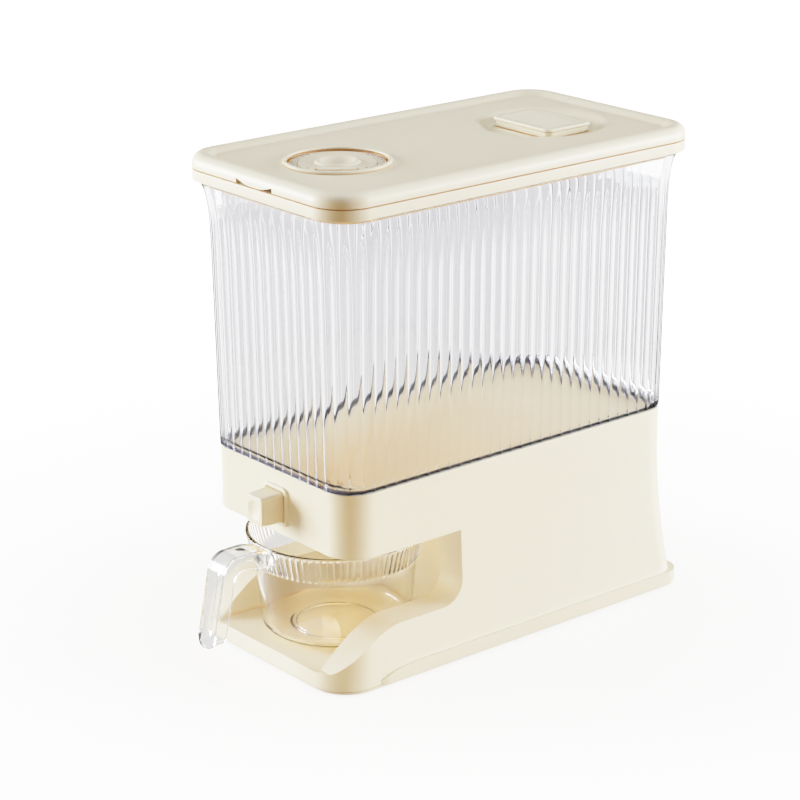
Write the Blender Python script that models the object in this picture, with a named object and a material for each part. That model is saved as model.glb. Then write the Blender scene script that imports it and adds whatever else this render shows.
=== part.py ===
"""Cereal dispenser: a cream base with a cup bay, a clear container, a lid with a flip cover, and a measuring cup.

Sizes are in millimetres and become metres when a mesh is made. Every solid is drawn in the body's frame: X across,
the front at -Y, Z up from the surface it stands on, and Y = 0 at the middle of the lid. The "body" empty then moves
the whole object along Y, so that the scene's origin is the centre of the object's footprint, cup handle included.
"""

import math

import bmesh
import bpy

MM = 0.001
GAP = 0.3  # between pieces that touch

# Lid
LID_HALF_X = 95.0
LID_HALF_Y = 175.0
LID_RADIUS = 29.0
LID_TOP = 375.0
PANEL_TOP = 371.5
PANEL_UNDERSIDE = 369.0
SEAM = 364.05
FRAME_BOTTOM = 355.35
LID_EDGE_ROUND = 7.5
HINGE_Y = 171.5
HINGE_Z = 368.0
HINGE_X = 50.0
HINGE_BARREL = 3.2
TAB_HALF_X = 21.0

# Dial and desiccant box
DIAL_Y = -100.0
DIAL_OUTER = 39.6
SLOT_TURN = 50.7
WELL_RADIUS = 38.3
WELL_FLOOR = 367.2
DISH_Y = 98.3
DISH_FLOOR = 366.3
BOX_HALF_X = 32.5
BOX_HALF_Y = 22.75

# Container
CONTAINER_HALF_X = 83.6
CONTAINER_HALF_Y = 163.5
CONTAINER_RADIUS = 24.0
CONTAINER_BOTTOM = 151.3
CONTAINER_TOP = 355.0
CONTAINER_WALL = 2.5
CONTAINER_DRAFT = 0.0165
CONTAINER_FLARE = 6.0
FLARE_START = 300.0

# Base
BAND_HALF_X = 84.8
BAND_HALF_Y = 161.3
BAND_RADIUS = 24.0
BASE_TOP = 151.0
BASE_BOTTOM = 3.3
BASE_WALL = 3.0
SKIRT_TOP = 115.0  # the walls flare outwards below this
SIDE_FLARE = 6.8
FRONT_FLARE = 16.0
REAR_FLARE = 8.6
PLINTH_HALF_X = 92.8
PLINTH_REAR = 173.0
PLINTH_TOP = 13.0
PLINTH_FRONT = -138.5

# Cup bay
BAY_HALF_X = 62.5
BAY_REAR = -34.0
BAY_CORNER = 30.0
BAY_FLOOR = 13.5
BAY_CEILING = 101.75
CEILING_THICK = 4.0
JAMB_Y = -55.5
JAMB_ROUND = 19.0
SILL_REAR_Z = 45.5
SILL_BEND_Y = -115.0
SILL_FRONT_Y = -171.0
SILL_FRONT_Z = 15.0

# Outlet, gate and button
OUTLET_Y = -107.0
DUCT_BOTTOM = 97.5
RAIL_TOP = 118.0
SHELF_TOP = 113.6
GATE_BOTTOM = 113.9
GATE_TOP = 116.4
GATE_REAR = -58.0
GUIDE_FRONT = -146.0
GUIDE_REAR = -26.0
GUIDE_STOP = -29.0
SPRING_X = 15.0
BUTTON_FRONT = -182.0
BUTTON_Z = 124.0
BUTTON_TRAVEL = 14.0
SCREW_Z = 120.0

# Measuring cup
CUP_Y = -107.0
CUP_FOOT = 13.8
CUP_RIM_Z = 92.7
CUP_RIM = 67.7
HANDLE_REACH = 229.5
HANDLE_TOP = 96.0
HANDLE_TIP_Z = 27.5
HANDLE_HALF_X = 10.0

BODY_Y = (HANDLE_REACH - LID_HALF_Y) / 2

# Fastener places, as (x, y)
BASE_SCREWS = [(-83.3, 135.0), (83.3, 135.0), (-83.3, 15.0), (83.3, 15.0), (-45.0, -150.0), (45.0, -150.0)]
GUIDE_SCREWS = [(-20.0, -138.0), (20.0, -138.0), (-22.0, -44.0), (22.0, -44.0)]
FEET = {
    "foot_front_left": (-72.0, -145.0),
    "foot_front_right": (72.0, -145.0),
    "foot_rear_left": (-74.0, 148.0),
    "foot_rear_right": (74.0, 148.0),
}

# Each moving group turns or slides from the empty at this place.
PIVOTS = {
    "container_rest": (0.0, 0.0, CONTAINER_BOTTOM),
    "lid_rest": (0.0, 0.0, FRAME_BOTTOM),
    "lid_hinge_axis": (0.0, HINGE_Y, HINGE_Z),
    "dial_axis": (0.0, DIAL_Y, WELL_FLOOR),
    "desiccant_rest": (0.0, DISH_Y, DISH_FLOOR),
    "button_rest": (0.0, BUTTON_FRONT, BUTTON_Z),
    "cup_rest": (0.0, CUP_Y, CUP_FOOT),
}


# ---------------------------------------------------------------- scene and materials


def clear_scene():
    for ob in list(bpy.data.objects):
        bpy.data.objects.remove(ob, do_unlink=True)


def make_empty(name, place, parent):
    empty = bpy.data.objects.new(name, None)
    empty.empty_display_size = 10 * MM
    empty.location = [c * MM for c in place]
    empty.parent = parent
    bpy.context.collection.objects.link(empty)
    return empty


def make_material(name, colour, roughness, metallic=0.0, transmission=0.0):
    mat = bpy.data.materials.new(name)
    mat.use_nodes = True
    shader = mat.node_tree.nodes["Principled BSDF"]
    shader.inputs["Base Color"].default_value = (*colour, 1.0)
    shader.inputs["Roughness"].default_value = roughness
    shader.inputs["Metallic"].default_value = metallic
    shader.inputs["Transmission Weight"].default_value = transmission
    mat.diffuse_color = (*colour, 1.0)
    return mat


# ---------------------------------------------------------------- building blocks


def finish(name, bm, material=None, pivot="body", sharp_angle=35.0):
    """Turns a bmesh drawn in the body's frame into an object under its pivot. With no material it is a cutter."""
    bmesh.ops.recalc_face_normals(bm, faces=bm.faces)
    centre = PIVOTS.get(pivot, (0.0, 0.0, 0.0))
    for v in bm.verts:
        v.co = [(v.co[i] - centre[i]) * MM for i in range(3)]
    mesh = bpy.data.meshes.new(name)
    bm.to_mesh(mesh)
    bm.free()
    mesh.shade_smooth()
    mesh.set_sharp_from_angle(angle=math.radians(sharp_angle))
    ob = bpy.data.objects.new(name, mesh)
    ob.parent = empties[pivot]
    bpy.context.collection.objects.link(ob)
    if material:
        mesh.materials.append(materials[material])
    else:
        ob.hide_render = True
        ob.display_type = "WIRE"
    return ob


def combine(target, tool, operation):
    """Adds a Boolean modifier. The tool stays in the scene as a wire cutter."""
    modifier = target.modifiers.new(tool.name, "BOOLEAN")
    modifier.operation = operation
    modifier.solver = "EXACT"
    modifier.object = tool
    return target


def cut(target, *tools):
    for tool in tools:
        combine(target, tool, "DIFFERENCE")
    return target


def add(target, *tools):
    for tool in tools:
        combine(target, tool, "UNION")
    return target


def arc(cx, cy, radius, start, end, steps):
    """Points of an arc, angles in degrees."""
    angles = [math.radians(start + (end - start) * k / steps) for k in range(steps + 1)]
    return [(cx + radius * math.cos(a), cy + radius * math.sin(a)) for a in angles]


def outline(half_x, front, rear, front_radius, rear_radius=None, steps=6):
    """A rounded rectangle in X and Y."""
    rear_radius = rear_radius or front_radius
    points = arc(half_x - rear_radius, rear - rear_radius, rear_radius, 0, 90, steps)
    points += arc(rear_radius - half_x, rear - rear_radius, rear_radius, 90, 180, steps)
    points += arc(front_radius - half_x, front + front_radius, front_radius, 180, 270, steps)
    points += arc(half_x - front_radius, front + front_radius, front_radius, 270, 360, steps)
    return points


def centred(half_x, half_y, radius, centre_y=0.0, steps=6):
    return outline(half_x, centre_y - half_y, centre_y + half_y, radius, steps=steps)


AXES = {"x": (1, 2, 0), "y": (0, 2, 1), "z": (0, 1, 2)}


def spot(axis, a, b, c):
    """The point whose two outline coordinates are a and b, and whose coordinate along the axis is c."""
    point = [0.0, 0.0, 0.0]
    for place, value in zip(AXES[axis], (a, b, c)):
        point[place] = value
    return point


def loft(name, rings, axis="z", ring_closed=False, **where):
    """A skin over rings of equal point count, each (outline, place along the axis), capped unless it closes."""
    bm = bmesh.new()
    loops = [[bm.verts.new(spot(axis, a, b, c)) for a, b in points] for points, c in rings]
    pairs = list(zip(loops, loops[1:]))
    if ring_closed:
        pairs.append((loops[-1], loops[0]))
    else:
        bm.faces.new(loops[0])
        bm.faces.new(loops[-1])
    for first, second in pairs:
        for i in range(len(first)):
            j = (i + 1) % len(first)
            bm.faces.new((first[i], first[j], second[j], second[i]))
    return finish(name, bm, **where)


def extruded(name, points, axis, low, high, **where):
    return loft(name, [(points, low), (points, high)], axis, **where)


def box(name, x, y, z, **where):
    corners = [(x[0], y[0]), (x[1], y[0]), (x[1], y[1]), (x[0], y[1])]
    return extruded(name, corners, "z", z[0], z[1], **where)


def rod(name, centre, radius, axis, low, high, steps=20, **where):
    circle = arc(centre[0], centre[1], radius, 0, 360, steps)[:-1]
    return extruded(name, circle, axis, low, high, **where)


def turned(name, profile, centre=(0.0, 0.0), steps=48, **where):
    """A solid of revolution about a vertical axis. The profile is a closed outline of (radius, z)."""
    bm = bmesh.new()
    rings = []
    for radius, z in profile:
        count = steps if radius else 1
        circle = arc(centre[0], centre[1], radius, 0, 360, count)[:-1]
        rings.append([bm.verts.new((x, y, z)) for x, y in circle])
    for first, second in zip(rings, rings[1:] + rings[:1]):
        if len(first) == len(second) == 1:
            continue
        for i in range(steps):
            j = (i + 1) % steps
            lower = [first[0]] if len(first) == 1 else [first[i], first[j]]
            upper = [second[0]] if len(second) == 1 else [second[j], second[i]]
            bm.faces.new(lower + upper)
    return finish(name, bm, **where)


# ---------------------------------------------------------------- base


def flare(z):
    """How far the base's walls have flared at this height, from 0 at the skirt's top to 1 at the bottom."""
    return max(0.0, (SKIRT_TOP - z) / SKIRT_TOP) ** 1.6


def base_outline(z, inset=0.0):
    f = flare(z)
    front = -BAND_HALF_Y - FRONT_FLARE * f + inset
    rear = BAND_HALF_Y + REAR_FLARE * f - inset
    half_x = BAND_HALF_X + SIDE_FLARE * f - inset
    return outline(half_x, front, rear, BAND_RADIUS + 6 * f - inset, BAND_RADIUS - 6 * f - inset)


def sill_profile():
    """The side opening's lower edge in (y, z), from the foot of the jamb to the front."""
    points = []
    for k in range(9):
        share = k / 8
        y = SILL_BEND_Y + (SILL_FRONT_Y - SILL_BEND_Y) * share
        rise = math.cos(math.pi / 2 * share)
        points.append((y, SILL_FRONT_Z + (SILL_REAR_Z - SILL_FRONT_Z) * rise))
    return points


def bay_space(name, grow=0.0, ceiling=BAY_CEILING):
    """The bay: a pocket for the cup joined to an opening through both side walls. grow widens it all round."""
    jamb = JAMB_Y + grow
    centre = (JAMB_Y - JAMB_ROUND, SILL_REAR_Z + JAMB_ROUND)
    side = [(-210.0, ceiling), (jamb, ceiling)]
    side += arc(*centre, JAMB_ROUND + grow, 0, -90, 5)
    side += [(y, z - grow) for y, z in sill_profile()]
    side.append((-210.0, SILL_FRONT_Z - grow))
    opening = extruded(name, side, "x", -110.0, 110.0)
    half_x = BAY_HALF_X + grow
    plan = outline(half_x, -210.0, BAY_REAR + grow, 5.0, BAY_CORNER + grow)
    pocket = extruded(name + "_pocket", plan, "z", BAY_FLOOR - grow, ceiling - 0.02)
    return add(opening, pocket)


def make_base_housing():
    heights = [BASE_BOTTOM, 12.0, 25.0, 40.0, 60.0, 85.0, SKIRT_TOP, BASE_TOP]
    housing = loft("base_housing", [(base_outline(z), z) for z in heights], material="cream")
    side = [(PLINTH_FRONT, BASE_BOTTOM)]
    side += arc(-100.0, BASE_BOTTOM, 1.0, 180, 90, 6)
    side = [(-100.0 + (y + 100.0) * 38.5, BASE_BOTTOM + (z - BASE_BOTTOM) * 9.7) for y, z in side[1:]]
    side += [(190.0, PLINTH_TOP), (190.0, BASE_BOTTOM)]
    plinth = extruded("plinth", side, "x", -110.0, 110.0)
    footprint = outline(PLINTH_HALF_X, -150.0, PLINTH_REAR, 20.0, 18.0)
    combine(plinth, extruded("plinth_plan", footprint, "z", BASE_BOTTOM - 1, PLINTH_TOP + 1), "INTERSECT")
    collar_outer = collar_outline(0.0)
    collar = [(collar_outer, -160.0), (collar_outer, -162.7), (collar_outline(-0.8), -163.5)]
    add(housing, plinth, loft("button_collar", collar, axis="y"))

    lower = [-5.0, 12.0, 25.0, 40.0, 60.0, 85.0, SKIRT_TOP, 141.5]
    rings = [(base_outline(z, BASE_WALL), z) for z in lower]
    rings += [(base_outline(z, 2 * BASE_WALL), z) for z in (141.5, 143.9)]
    rings += [(base_outline(z, BASE_WALL), z) for z in (143.9, BASE_TOP + 5)]
    cavity = loft("housing_cavity", rings)
    cut(cavity, bay_space("bay_walls", BASE_WALL, BAY_CEILING + CEILING_THICK))
    cut(housing, cavity)

    for i, (x, y) in enumerate(BASE_SCREWS):
        top = 38.0 if y > 0 else BAY_FLOOR - 2.0
        add(housing, rod(f"column_{i}", (x, y), 4.2, "z", BASE_BOTTOM, top, 12))
    cut(housing, bay_space("bay"))
    for i, (x, y) in enumerate(BASE_SCREWS):
        cut(housing, rod(f"column_hole_{i}", (x, y), 1.5, "z", 0.0, 10.0, 8))
    for i, (x, y) in enumerate(GUIDE_SCREWS):
        cut(housing, rod(f"ceiling_hole_{i}", (x, y), 1.5, "z", 102.6, 110.0, 8))
    duct = centred(28.5, 11.0, 1.0, OUTLET_Y, steps=1)
    cut(housing, extruded("duct_hole", duct, "z", BAY_CEILING - 5, BAY_CEILING + 10))
    cut(housing, extruded("button_hole", button_outline(10.9, 12.1), "y", -170.0, -150.0))
    return housing


def button_outline(half_x, half_z, radius=2.5):
    """A rounded rectangle in X and Z about the button's centre."""
    return [(x, z + BUTTON_Z) for x, z in centred(half_x, half_z, radius, steps=3)]


def collar_outline(grow):
    return button_outline(14.2 + grow, 15.2 + grow, 5.0)


def make_bottom_plate():
    plan = outline(91.6, -175.8, 172.2, 29.0, 17.0)
    plate = extruded("bottom_plate", plan, "z", 1.0, 3.0, material="cream")
    for i, (x, y) in enumerate(BASE_SCREWS):
        cut(plate, rod(f"screw_seat_{i}", (x, y), 3.4, "z", 0.0, 2.2, 12))
        cut(plate, rod(f"screw_pass_{i}", (x, y), 1.8, "z", 0.0, 4.0, 8))
    for i, (x, y) in enumerate(FEET.values()):
        cut(plate, rod(f"foot_seat_{i}", (x, y), 7.0, "z", 0.0, 2.0, 24))
    return plate


def make_feet():
    for name, (x, y) in FEET.items():
        profile = [(0, 0), (6.0, 0), (6.6, 0.6), (6.6, 1.7), (0, 1.7)]
        turned(name, profile, (x, y), 24, material="rubber")


def make_screw(name, place, head_radius, head, shank_radius, tip):
    """An upright screw. head is (outer face, inner face) and tip is the shank's far end, all along Z."""
    outer, inner = head
    profile = [(0, outer), (head_radius, outer), (head_radius, inner), (shank_radius, inner)]
    profile += [(shank_radius, tip), (0, tip)]
    return turned(name, profile, place, 12, material="steel")


def make_screws():
    for i, place in enumerate(BASE_SCREWS):
        make_screw(f"base_screw_{i + 1}", place, 3.0, (1.05, 1.95), 1.2, 9.5)
    for i, place in enumerate(GUIDE_SCREWS):
        make_screw(f"guide_screw_{i + 1}", place, 2.8, (110.2, 108.4), 1.2, 103.0)


def make_hopper_floor():
    flange = centred(81.5, 158.0, 20.7)
    slope_top = centred(78.0, 154.5, 17.2)
    slope_underside = centred(77.0, 153.5, 16.2)
    outlet = centred(26.0, 9.0, 3.0, OUTLET_Y)
    neck = centred(28.0, 11.0, 5.0, OUTLET_Y)
    rings = [
        (flange, 146.3),
        (slope_top, 146.3),
        (outlet, 120.0),
        (outlet, 116.9),
        (neck, 116.9),
        (neck, 118.6),
        (slope_underside, 144.2),
        (flange, 144.2),
    ]
    return loft("hopper_floor", rings, ring_closed=True, material="cream")


# ---------------------------------------------------------------- gate and button


def make_gate_guide():
    floor_z = BAY_CEILING + CEILING_THICK + GAP
    half = [(33.0, floor_z), (33.0, RAIL_TOP), (28.6, RAIL_TOP), (28.6, 116.9), (30.4, 116.9)]
    half += [(30.4, SHELF_TOP), (27.5, SHELF_TOP), (27.5, floor_z + 2.0)]
    section = half + [(-x, z) for x, z in reversed(half)]
    guide = extruded("gate_guide", section, "y", GUIDE_FRONT, GUIDE_REAR, material="cream")
    add(guide, box("guide_duct", (-28.0, 28.0), (OUTLET_Y - 10.5, OUTLET_Y + 10.5), (DUCT_BOTTOM, SHELF_TOP - 0.2)))
    add(guide, box("guide_stop", (-31.5, 31.5), (GUIDE_STOP, GUIDE_REAR - 0.5), (floor_z + 1.0, RAIL_TOP - 0.3)))
    for x in (-SPRING_X, SPRING_X):
        middle = (x, (GATE_BOTTOM + GATE_TOP) / 2)
        add(guide, rod(f"peg_{x}", middle, 1.4, "y", GUIDE_STOP - 4, GUIDE_STOP + 1, 8))
    cut(guide, box("duct_way", (-25.5, 25.5), (OUTLET_Y - 8.4, OUTLET_Y + 8.4), (DUCT_BOTTOM - 5, RAIL_TOP)))
    for i, (x, y) in enumerate(GUIDE_SCREWS):
        cut(guide, rod(f"guide_hole_{i}", (x, y), 1.6, "z", floor_z - 3, floor_z + 5, 8))
    return guide


def make_gate_slide():
    gate_front = BUTTON_FRONT + 32.5
    plate = extruded(
        "gate_slide",
        [(-30.0, gate_front), (30.0, gate_front), (30.0, GATE_REAR), (-30.0, GATE_REAR)],
        "z",
        GATE_BOTTOM,
        GATE_TOP,
        material="cream",
        pivot="button_rest",
    )
    add(plate, box("gate_flange", (-12.0, 12.0), (gate_front - 2.0, gate_front + 0.2), (GATE_BOTTOM, 125.0)))
    window_rear = OUTLET_Y - 9.4
    cut(plate, box("gate_window", (-25.0, 25.0), (window_rear - 14.0, window_rear), (GATE_BOTTOM - 3, GATE_TOP + 3)))
    cut(plate, rod("gate_screw_hole", (0.0, SCREW_Z), 1.5, "y", gate_front - 5, gate_front + 4, 8))
    return plate


def make_push_button():
    rings = [
        (button_outline(8.9, 10.2), BUTTON_FRONT),
        (button_outline(9.7, 11.0), BUTTON_FRONT + 0.8),
        (button_outline(10.6, 11.8), -159.5),
        (button_outline(8.7, 9.9), -159.5),
        (button_outline(8.0, 9.2), BUTTON_FRONT + 2.2),
    ]
    button = loft("push_button", rings, axis="y", material="cream", pivot="button_rest")
    add(button, box("button_boss", (-5.0, 5.0), (BUTTON_FRONT + 1.5, -151.8), (115.0, 125.0)))
    add(button, box("button_skirt", (-13.0, 13.0), (-158.0, -156.4), (110.0, 131.0)))
    dimple = bmesh.new()
    bmesh.ops.create_icosphere(dimple, subdivisions=3, radius=24.0)
    bmesh.ops.translate(dimple, verts=dimple.verts, vec=(0.0, BUTTON_FRONT - 22.8, BUTTON_Z))
    cut(button, finish("button_dimple", dimple))
    cut(button, rod("button_screw_hole", (0.0, SCREW_Z), 1.4, "y", -161.0, -150.0, 8))
    return button


def make_button_screw():
    head, shank = arc(0.0, SCREW_Z, 2.8, 0, 360, 12)[:-1], arc(0.0, SCREW_Z, 1.1, 0, 360, 12)[:-1]
    rings = [(head, -147.4), (head, -149.0), (shank, -149.0), (shank, -159.0)]
    return loft("button_screw", rings, axis="y", material="steel", pivot="button_rest")


def make_gate_springs():
    """Two coil springs between the gate's rear edge and the guide's stop."""
    coil, wire, turns, per_turn, sides = 2.4, 0.4, 7, 10, 6
    start, end = GATE_REAR + GAP + wire, GUIDE_STOP - GAP - wire
    middle_z = (GATE_BOTTOM + GATE_TOP) / 2
    for name, x in (("gate_spring_left", -SPRING_X), ("gate_spring_right", SPRING_X)):
        rings = []
        for k in range(turns * per_turn + 1):
            angle = 2 * math.pi * k / per_turn
            y = start + (end - start) * k / (turns * per_turn)
            ring = []
            for s in range(sides):
                around = 2 * math.pi * s / sides
                reach = coil + wire * math.cos(around)
                place = (x + reach * math.cos(angle), y + wire * math.sin(around))
                ring.append((*place, middle_z + reach * math.sin(angle)))
            rings.append(ring)
        bm = bmesh.new()
        loops = [[bm.verts.new(p) for p in ring] for ring in rings]
        bm.faces.new(loops[0])
        bm.faces.new(loops[-1])
        for first, second in zip(loops, loops[1:]):
            for s in range(sides):
                t = (s + 1) % sides
                bm.faces.new((first[s], first[t], second[t], second[s]))
        finish(name, bm, material="steel")


# ---------------------------------------------------------------- measuring cup


def handle_side(inset):
    """The handle's outer line in (y, z), set in by inset, from the cup forwards and down to the tip."""
    grip_top = (-218.0, 84.5)
    slope = (HANDLE_REACH + grip_top[0]) / (grip_top[1] - 29.0)
    lean = math.atan(slope)
    bend = 15.0
    shift = inset / math.cos(lean)
    corner_y = grip_top[0] + slope * (HANDLE_TOP - grip_top[1])
    centre_y = corner_y + bend * math.tan((math.pi / 2 - lean) / 2)
    centre = (centre_y, HANDLE_TOP - bend)
    points = arc(*centre, bend - inset, 90, 180 - math.degrees(lean), 7)
    points.append((-HANDLE_REACH + shift, 29.0))
    points.append((-HANDLE_REACH + shift + slope * 4, HANDLE_TIP_Z - 5))
    return points


def make_handle():
    outer = [(-166.0, HANDLE_TOP)] + handle_side(0.0)
    inner = [(-217.0, HANDLE_TIP_Z - 5), (-218.2, 29.0), (-208.2, 76.8), (-204.9, 82.2), (-199.4, 84.0)]
    inner += [(-194.0, 84.0), (-166.0, 78.5)]
    handle = extruded("cup_handle", outer + inner, "x", -HANDLE_HALF_X, HANDLE_HALF_X)
    channel = [(-170.0, HANDLE_TOP - 2.4)] + handle_side(2.4) + [(-190.0, 10.0), (-170.0, 10.0)]
    cut(handle, extruded("handle_channel", channel, "x", 2.2 - HANDLE_HALF_X, HANDLE_HALF_X - 2.2))
    tongue = arc(0.0, HANDLE_TIP_Z + HANDLE_HALF_X, HANDLE_HALF_X + 0.2, 180, 360, 10)
    tongue += [(HANDLE_HALF_X + 0.2, 120.0), (-HANDLE_HALF_X - 0.2, 120.0)]
    combine(handle, extruded("handle_tongue", tongue, "y", -240.0, -150.0), "INTERSECT")
    return handle


def make_measuring_cup():
    outer = [(0, 15.6), (30.6, 15.6), (31.4, CUP_FOOT), (34.0, CUP_FOOT), (34.8, 15.2), (50.0, 15.6)]
    outer += [(54.5, 17.2), (57.0, 20.0), (61.3, 71.0), (62.6, 72.0), (66.6, 89.6), (CUP_RIM, 90.8)]
    outer += [(CUP_RIM, CUP_RIM_Z), (0, CUP_RIM_Z)]
    inner = [(0, 17.8), (49.0, 17.8), (53.0, 19.2), (55.0, 21.6), (59.3, 71.5), (60.6, 73.0)]
    inner += [(64.6, 89.6), (65.2, CUP_RIM_Z + 8), (0, CUP_RIM_Z + 8)]
    place = (0.0, CUP_Y)
    cup = turned("measuring_cup", outer, place, material="clear", pivot="cup_rest")
    add(cup, make_handle())
    return cut(cup, turned("cup_hollow", inner, place))


# ---------------------------------------------------------------- container


def container_spread(z):
    """How far the container's outer face stands outside its bottom edge at this height."""
    above = max(0.0, (z - FLARE_START) / (CONTAINER_TOP - FLARE_START))
    return CONTAINER_DRAFT * (z - CONTAINER_BOTTOM) + CONTAINER_FLARE * above**5


def wall_outline(out):
    """The container's bottom outline moved outwards. Its corners keep their centres."""
    return centred(CONTAINER_HALF_X + out, CONTAINER_HALF_Y + out, CONTAINER_RADIUS + out)


def container_outline(z, inset=0.0):
    return wall_outline(container_spread(z) - inset)


def make_container():
    heights = [CONTAINER_BOTTOM, 225.0, FLARE_START, 318.0, 330.0, 340.0, 348.0, CONTAINER_TOP]
    inner = [158.0] + heights[1:]
    spigot, bore = centred(81.5, 161.4, 21.9), centred(79.2, 159.1, 19.6)
    spigot_in_base = centred(81.5, 158.0, 20.7)
    bore_in_base = centred(79.2, 155.7, 18.4)
    rings = [(container_outline(z), z) for z in heights]
    rings += [(container_outline(z, CONTAINER_WALL), z) for z in reversed(inner)]
    rings += [(bore_in_base, 154.5), (bore_in_base, 148.0), (spigot_in_base, 148.0)]
    rings += [(spigot_in_base, CONTAINER_BOTTOM)]
    return loft("container", rings, ring_closed=True, material="clear", pivot="container_rest")


def ring_seal(name, outer, inner, low, high, pivot):
    """A flat seal between two outlines."""
    rings = [(outer, low), (outer, high), (inner, high), (inner, low)]
    return loft(name, rings, ring_closed=True, material="silicone", pivot=pivot)


# ---------------------------------------------------------------- lid


def lid_outline(inset):
    return centred(LID_HALF_X - inset, LID_HALF_Y - inset, LID_RADIUS - inset)


def make_lid_frame():
    skirt = [(4.0, 358.5), (4.0, FRAME_BOTTOM), (0.6, FRAME_BOTTOM), (0.0, 356.0), (0.0, 363.5), (0.5, SEAM)]
    spigot = [(-2.6, SEAM), (-2.6, 351.0), (0.4, 351.0), (0.4, 358.5)]
    rings = [(lid_outline(inset), z) for inset, z in skirt]
    rings += [(wall_outline(out), z) for out, z in spigot]
    frame = loft("lid_frame", rings, ring_closed=True, material="cream", pivot="lid_rest")
    for side in (-1, 1):
        for lug in (-8.2, 8.2):
            x = (side * HINGE_X + lug - 2.2, side * HINGE_X + lug + 2.2)
            tag = f"{side}_{lug}"
            stem = (HINGE_Y - 3.0, HINGE_Y + 3.0)
            add(frame, box(f"lug_stem_{tag}", x, stem, (360.0, HINGE_Z)))
            add(frame, rod(f"lug_{tag}", (HINGE_Y, HINGE_Z), HINGE_BARREL, "x", x[0] - 0.05, x[1] + 0.05, 16))
        bore = (side * HINGE_X - 12, side * HINGE_X + 12)
        cut(frame, rod(f"lug_bore_{side}", (HINGE_Y, HINGE_Z), 1.5, "x", *bore, 12))
    return frame


def make_hinge_pins():
    for name, x in (("hinge_pin_left", -HINGE_X), ("hinge_pin_right", HINGE_X)):
        rod(name, (HINGE_Y, HINGE_Z), 1.25, "x", x - 10, x + 10, 12, material="steel", pivot="lid_rest")


def lid_edge(round_steps=4):
    """The cover's outer edge as (inset, z), from the bottom up and over the rim to the panel."""
    centre_z = LID_TOP - LID_EDGE_ROUND
    points = [(0.4, SEAM + GAP), (0.0, SEAM + 0.9)]
    points += arc(LID_EDGE_ROUND, centre_z, LID_EDGE_ROUND, 180, 90, round_steps)
    points += [(10.0, LID_TOP), (13.2, 374.1), (16.2, 372.1), (19.0, PANEL_TOP)]
    return points


def make_lid_cover():
    rings = [(lid_outline(inset), z) for inset, z in reversed(lid_edge())]
    underside = [(2.8, SEAM + GAP), (2.8, 367.8), (4.2, 370.6), (7.5, 372.3), (11.0, 372.0), (15.5, 369.4)]
    underside.append((19.0, PANEL_UNDERSIDE))
    rings += [(lid_outline(inset), z) for inset, z in underside]
    cover = loft("lid_cover", rings, material="cream", pivot="lid_hinge_axis")
    cut_finger_tab(cover)
    add_dial_well(cover)
    add_dish(cover)
    add_hinge_knuckles(cover)
    return cover


def cut_finger_tab(cover):
    """Two wedge openings leave a tab with a bowed lower edge at the front."""
    depth = 4.0
    bow = (TAB_HALF_X**2 + depth**2) / (2 * depth)
    wedges = box("tab_wedges", (-TAB_HALF_X, TAB_HALF_X), (-180.0, -169.0), (360.0, 369.2))
    centre = (0.0, SEAM + GAP + 0.05 + bow)
    cut(wedges, rod("tab_bow", centre, bow, "y", -185.0, -160.0, 128))
    cut(cover, wedges)


def add_dial_well(cover):
    place = (0.0, DIAL_Y)
    cup = [(0, WELL_FLOOR - 1.8), (40.6, WELL_FLOOR - 1.8), (41.4, WELL_FLOOR - 1.0), (41.4, 370.3), (0, 370.3)]
    add(cover, turned("well_cup", cup, place))
    cut(cover, turned("well", [(0, WELL_FLOOR), (WELL_RADIUS, WELL_FLOOR), (WELL_RADIUS, 380), (0, 380)], place))
    cut(cover, rod("well_bore", place, 4.3, "z", 360.0, 370.0, 20))


def add_dish(cover):
    place = (0.0, DISH_Y)
    bowl = [(0, 363.8), (40.0, 363.8), (51.5, 369.2), (51.5, 370.4), (0, 370.4)]
    add(cover, turned("dish_bowl", bowl, place))
    hollow = [(0, DISH_FLOOR), (38.5, DISH_FLOOR), (41.5, 366.9), (46.0, 369.4), (49.5, 371.2), (50.5, 371.9)]
    hollow += [(50.5, 380), (0, 380)]
    cut(cover, turned("dish", hollow, place))
    cut(cover, extruded("box_way", centred(29.5, 19.75, 4.0, DISH_Y, steps=3), "z", 360.0, 369.0))


def add_hinge_knuckles(cover):
    edge = box("rear_edge", (-110.0, 110.0), (HINGE_Y, 182.0), (355.0, HINGE_Z))
    cut(edge, rod("rear_edge_round", (HINGE_Y, HINGE_Z), 3.5, "x", -120.0, 120.0, 32))
    cut(cover, edge)
    for side in (-1, 1):
        x = side * HINGE_X
        cut(cover, box(f"hinge_notch_{side}", (x - 11, x + 11), (HINGE_Y - 4.2, 182.0), (360.0, HINGE_Z + 4.0)))
        reach = (x - 5.5, x + 5.5)
        knuckle = rod(f"knuckle_{side}", (HINGE_Y, HINGE_Z), HINGE_BARREL, "x", *reach, 16)
        add(knuckle, box(f"knuckle_neck_{side}", reach, (HINGE_Y - 2.8, HINGE_Y + 2.6), (HINGE_Z, HINGE_Z + 4.8)))
        add(cover, knuckle)
        cut(cover, rod(f"knuckle_bore_{side}", (HINGE_Y, HINGE_Z), 1.5, "x", x - 12, x + 12, 12))


def about_dial(along, out):
    """A point of the knob's face, in X and Y, with the face turned to where its pointer slot stands at rest."""
    turn = math.radians(SLOT_TURN)
    x = along * math.cos(turn) - out * math.sin(turn)
    y = along * math.sin(turn) + out * math.cos(turn)
    return x, DIAL_Y + y


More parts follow.
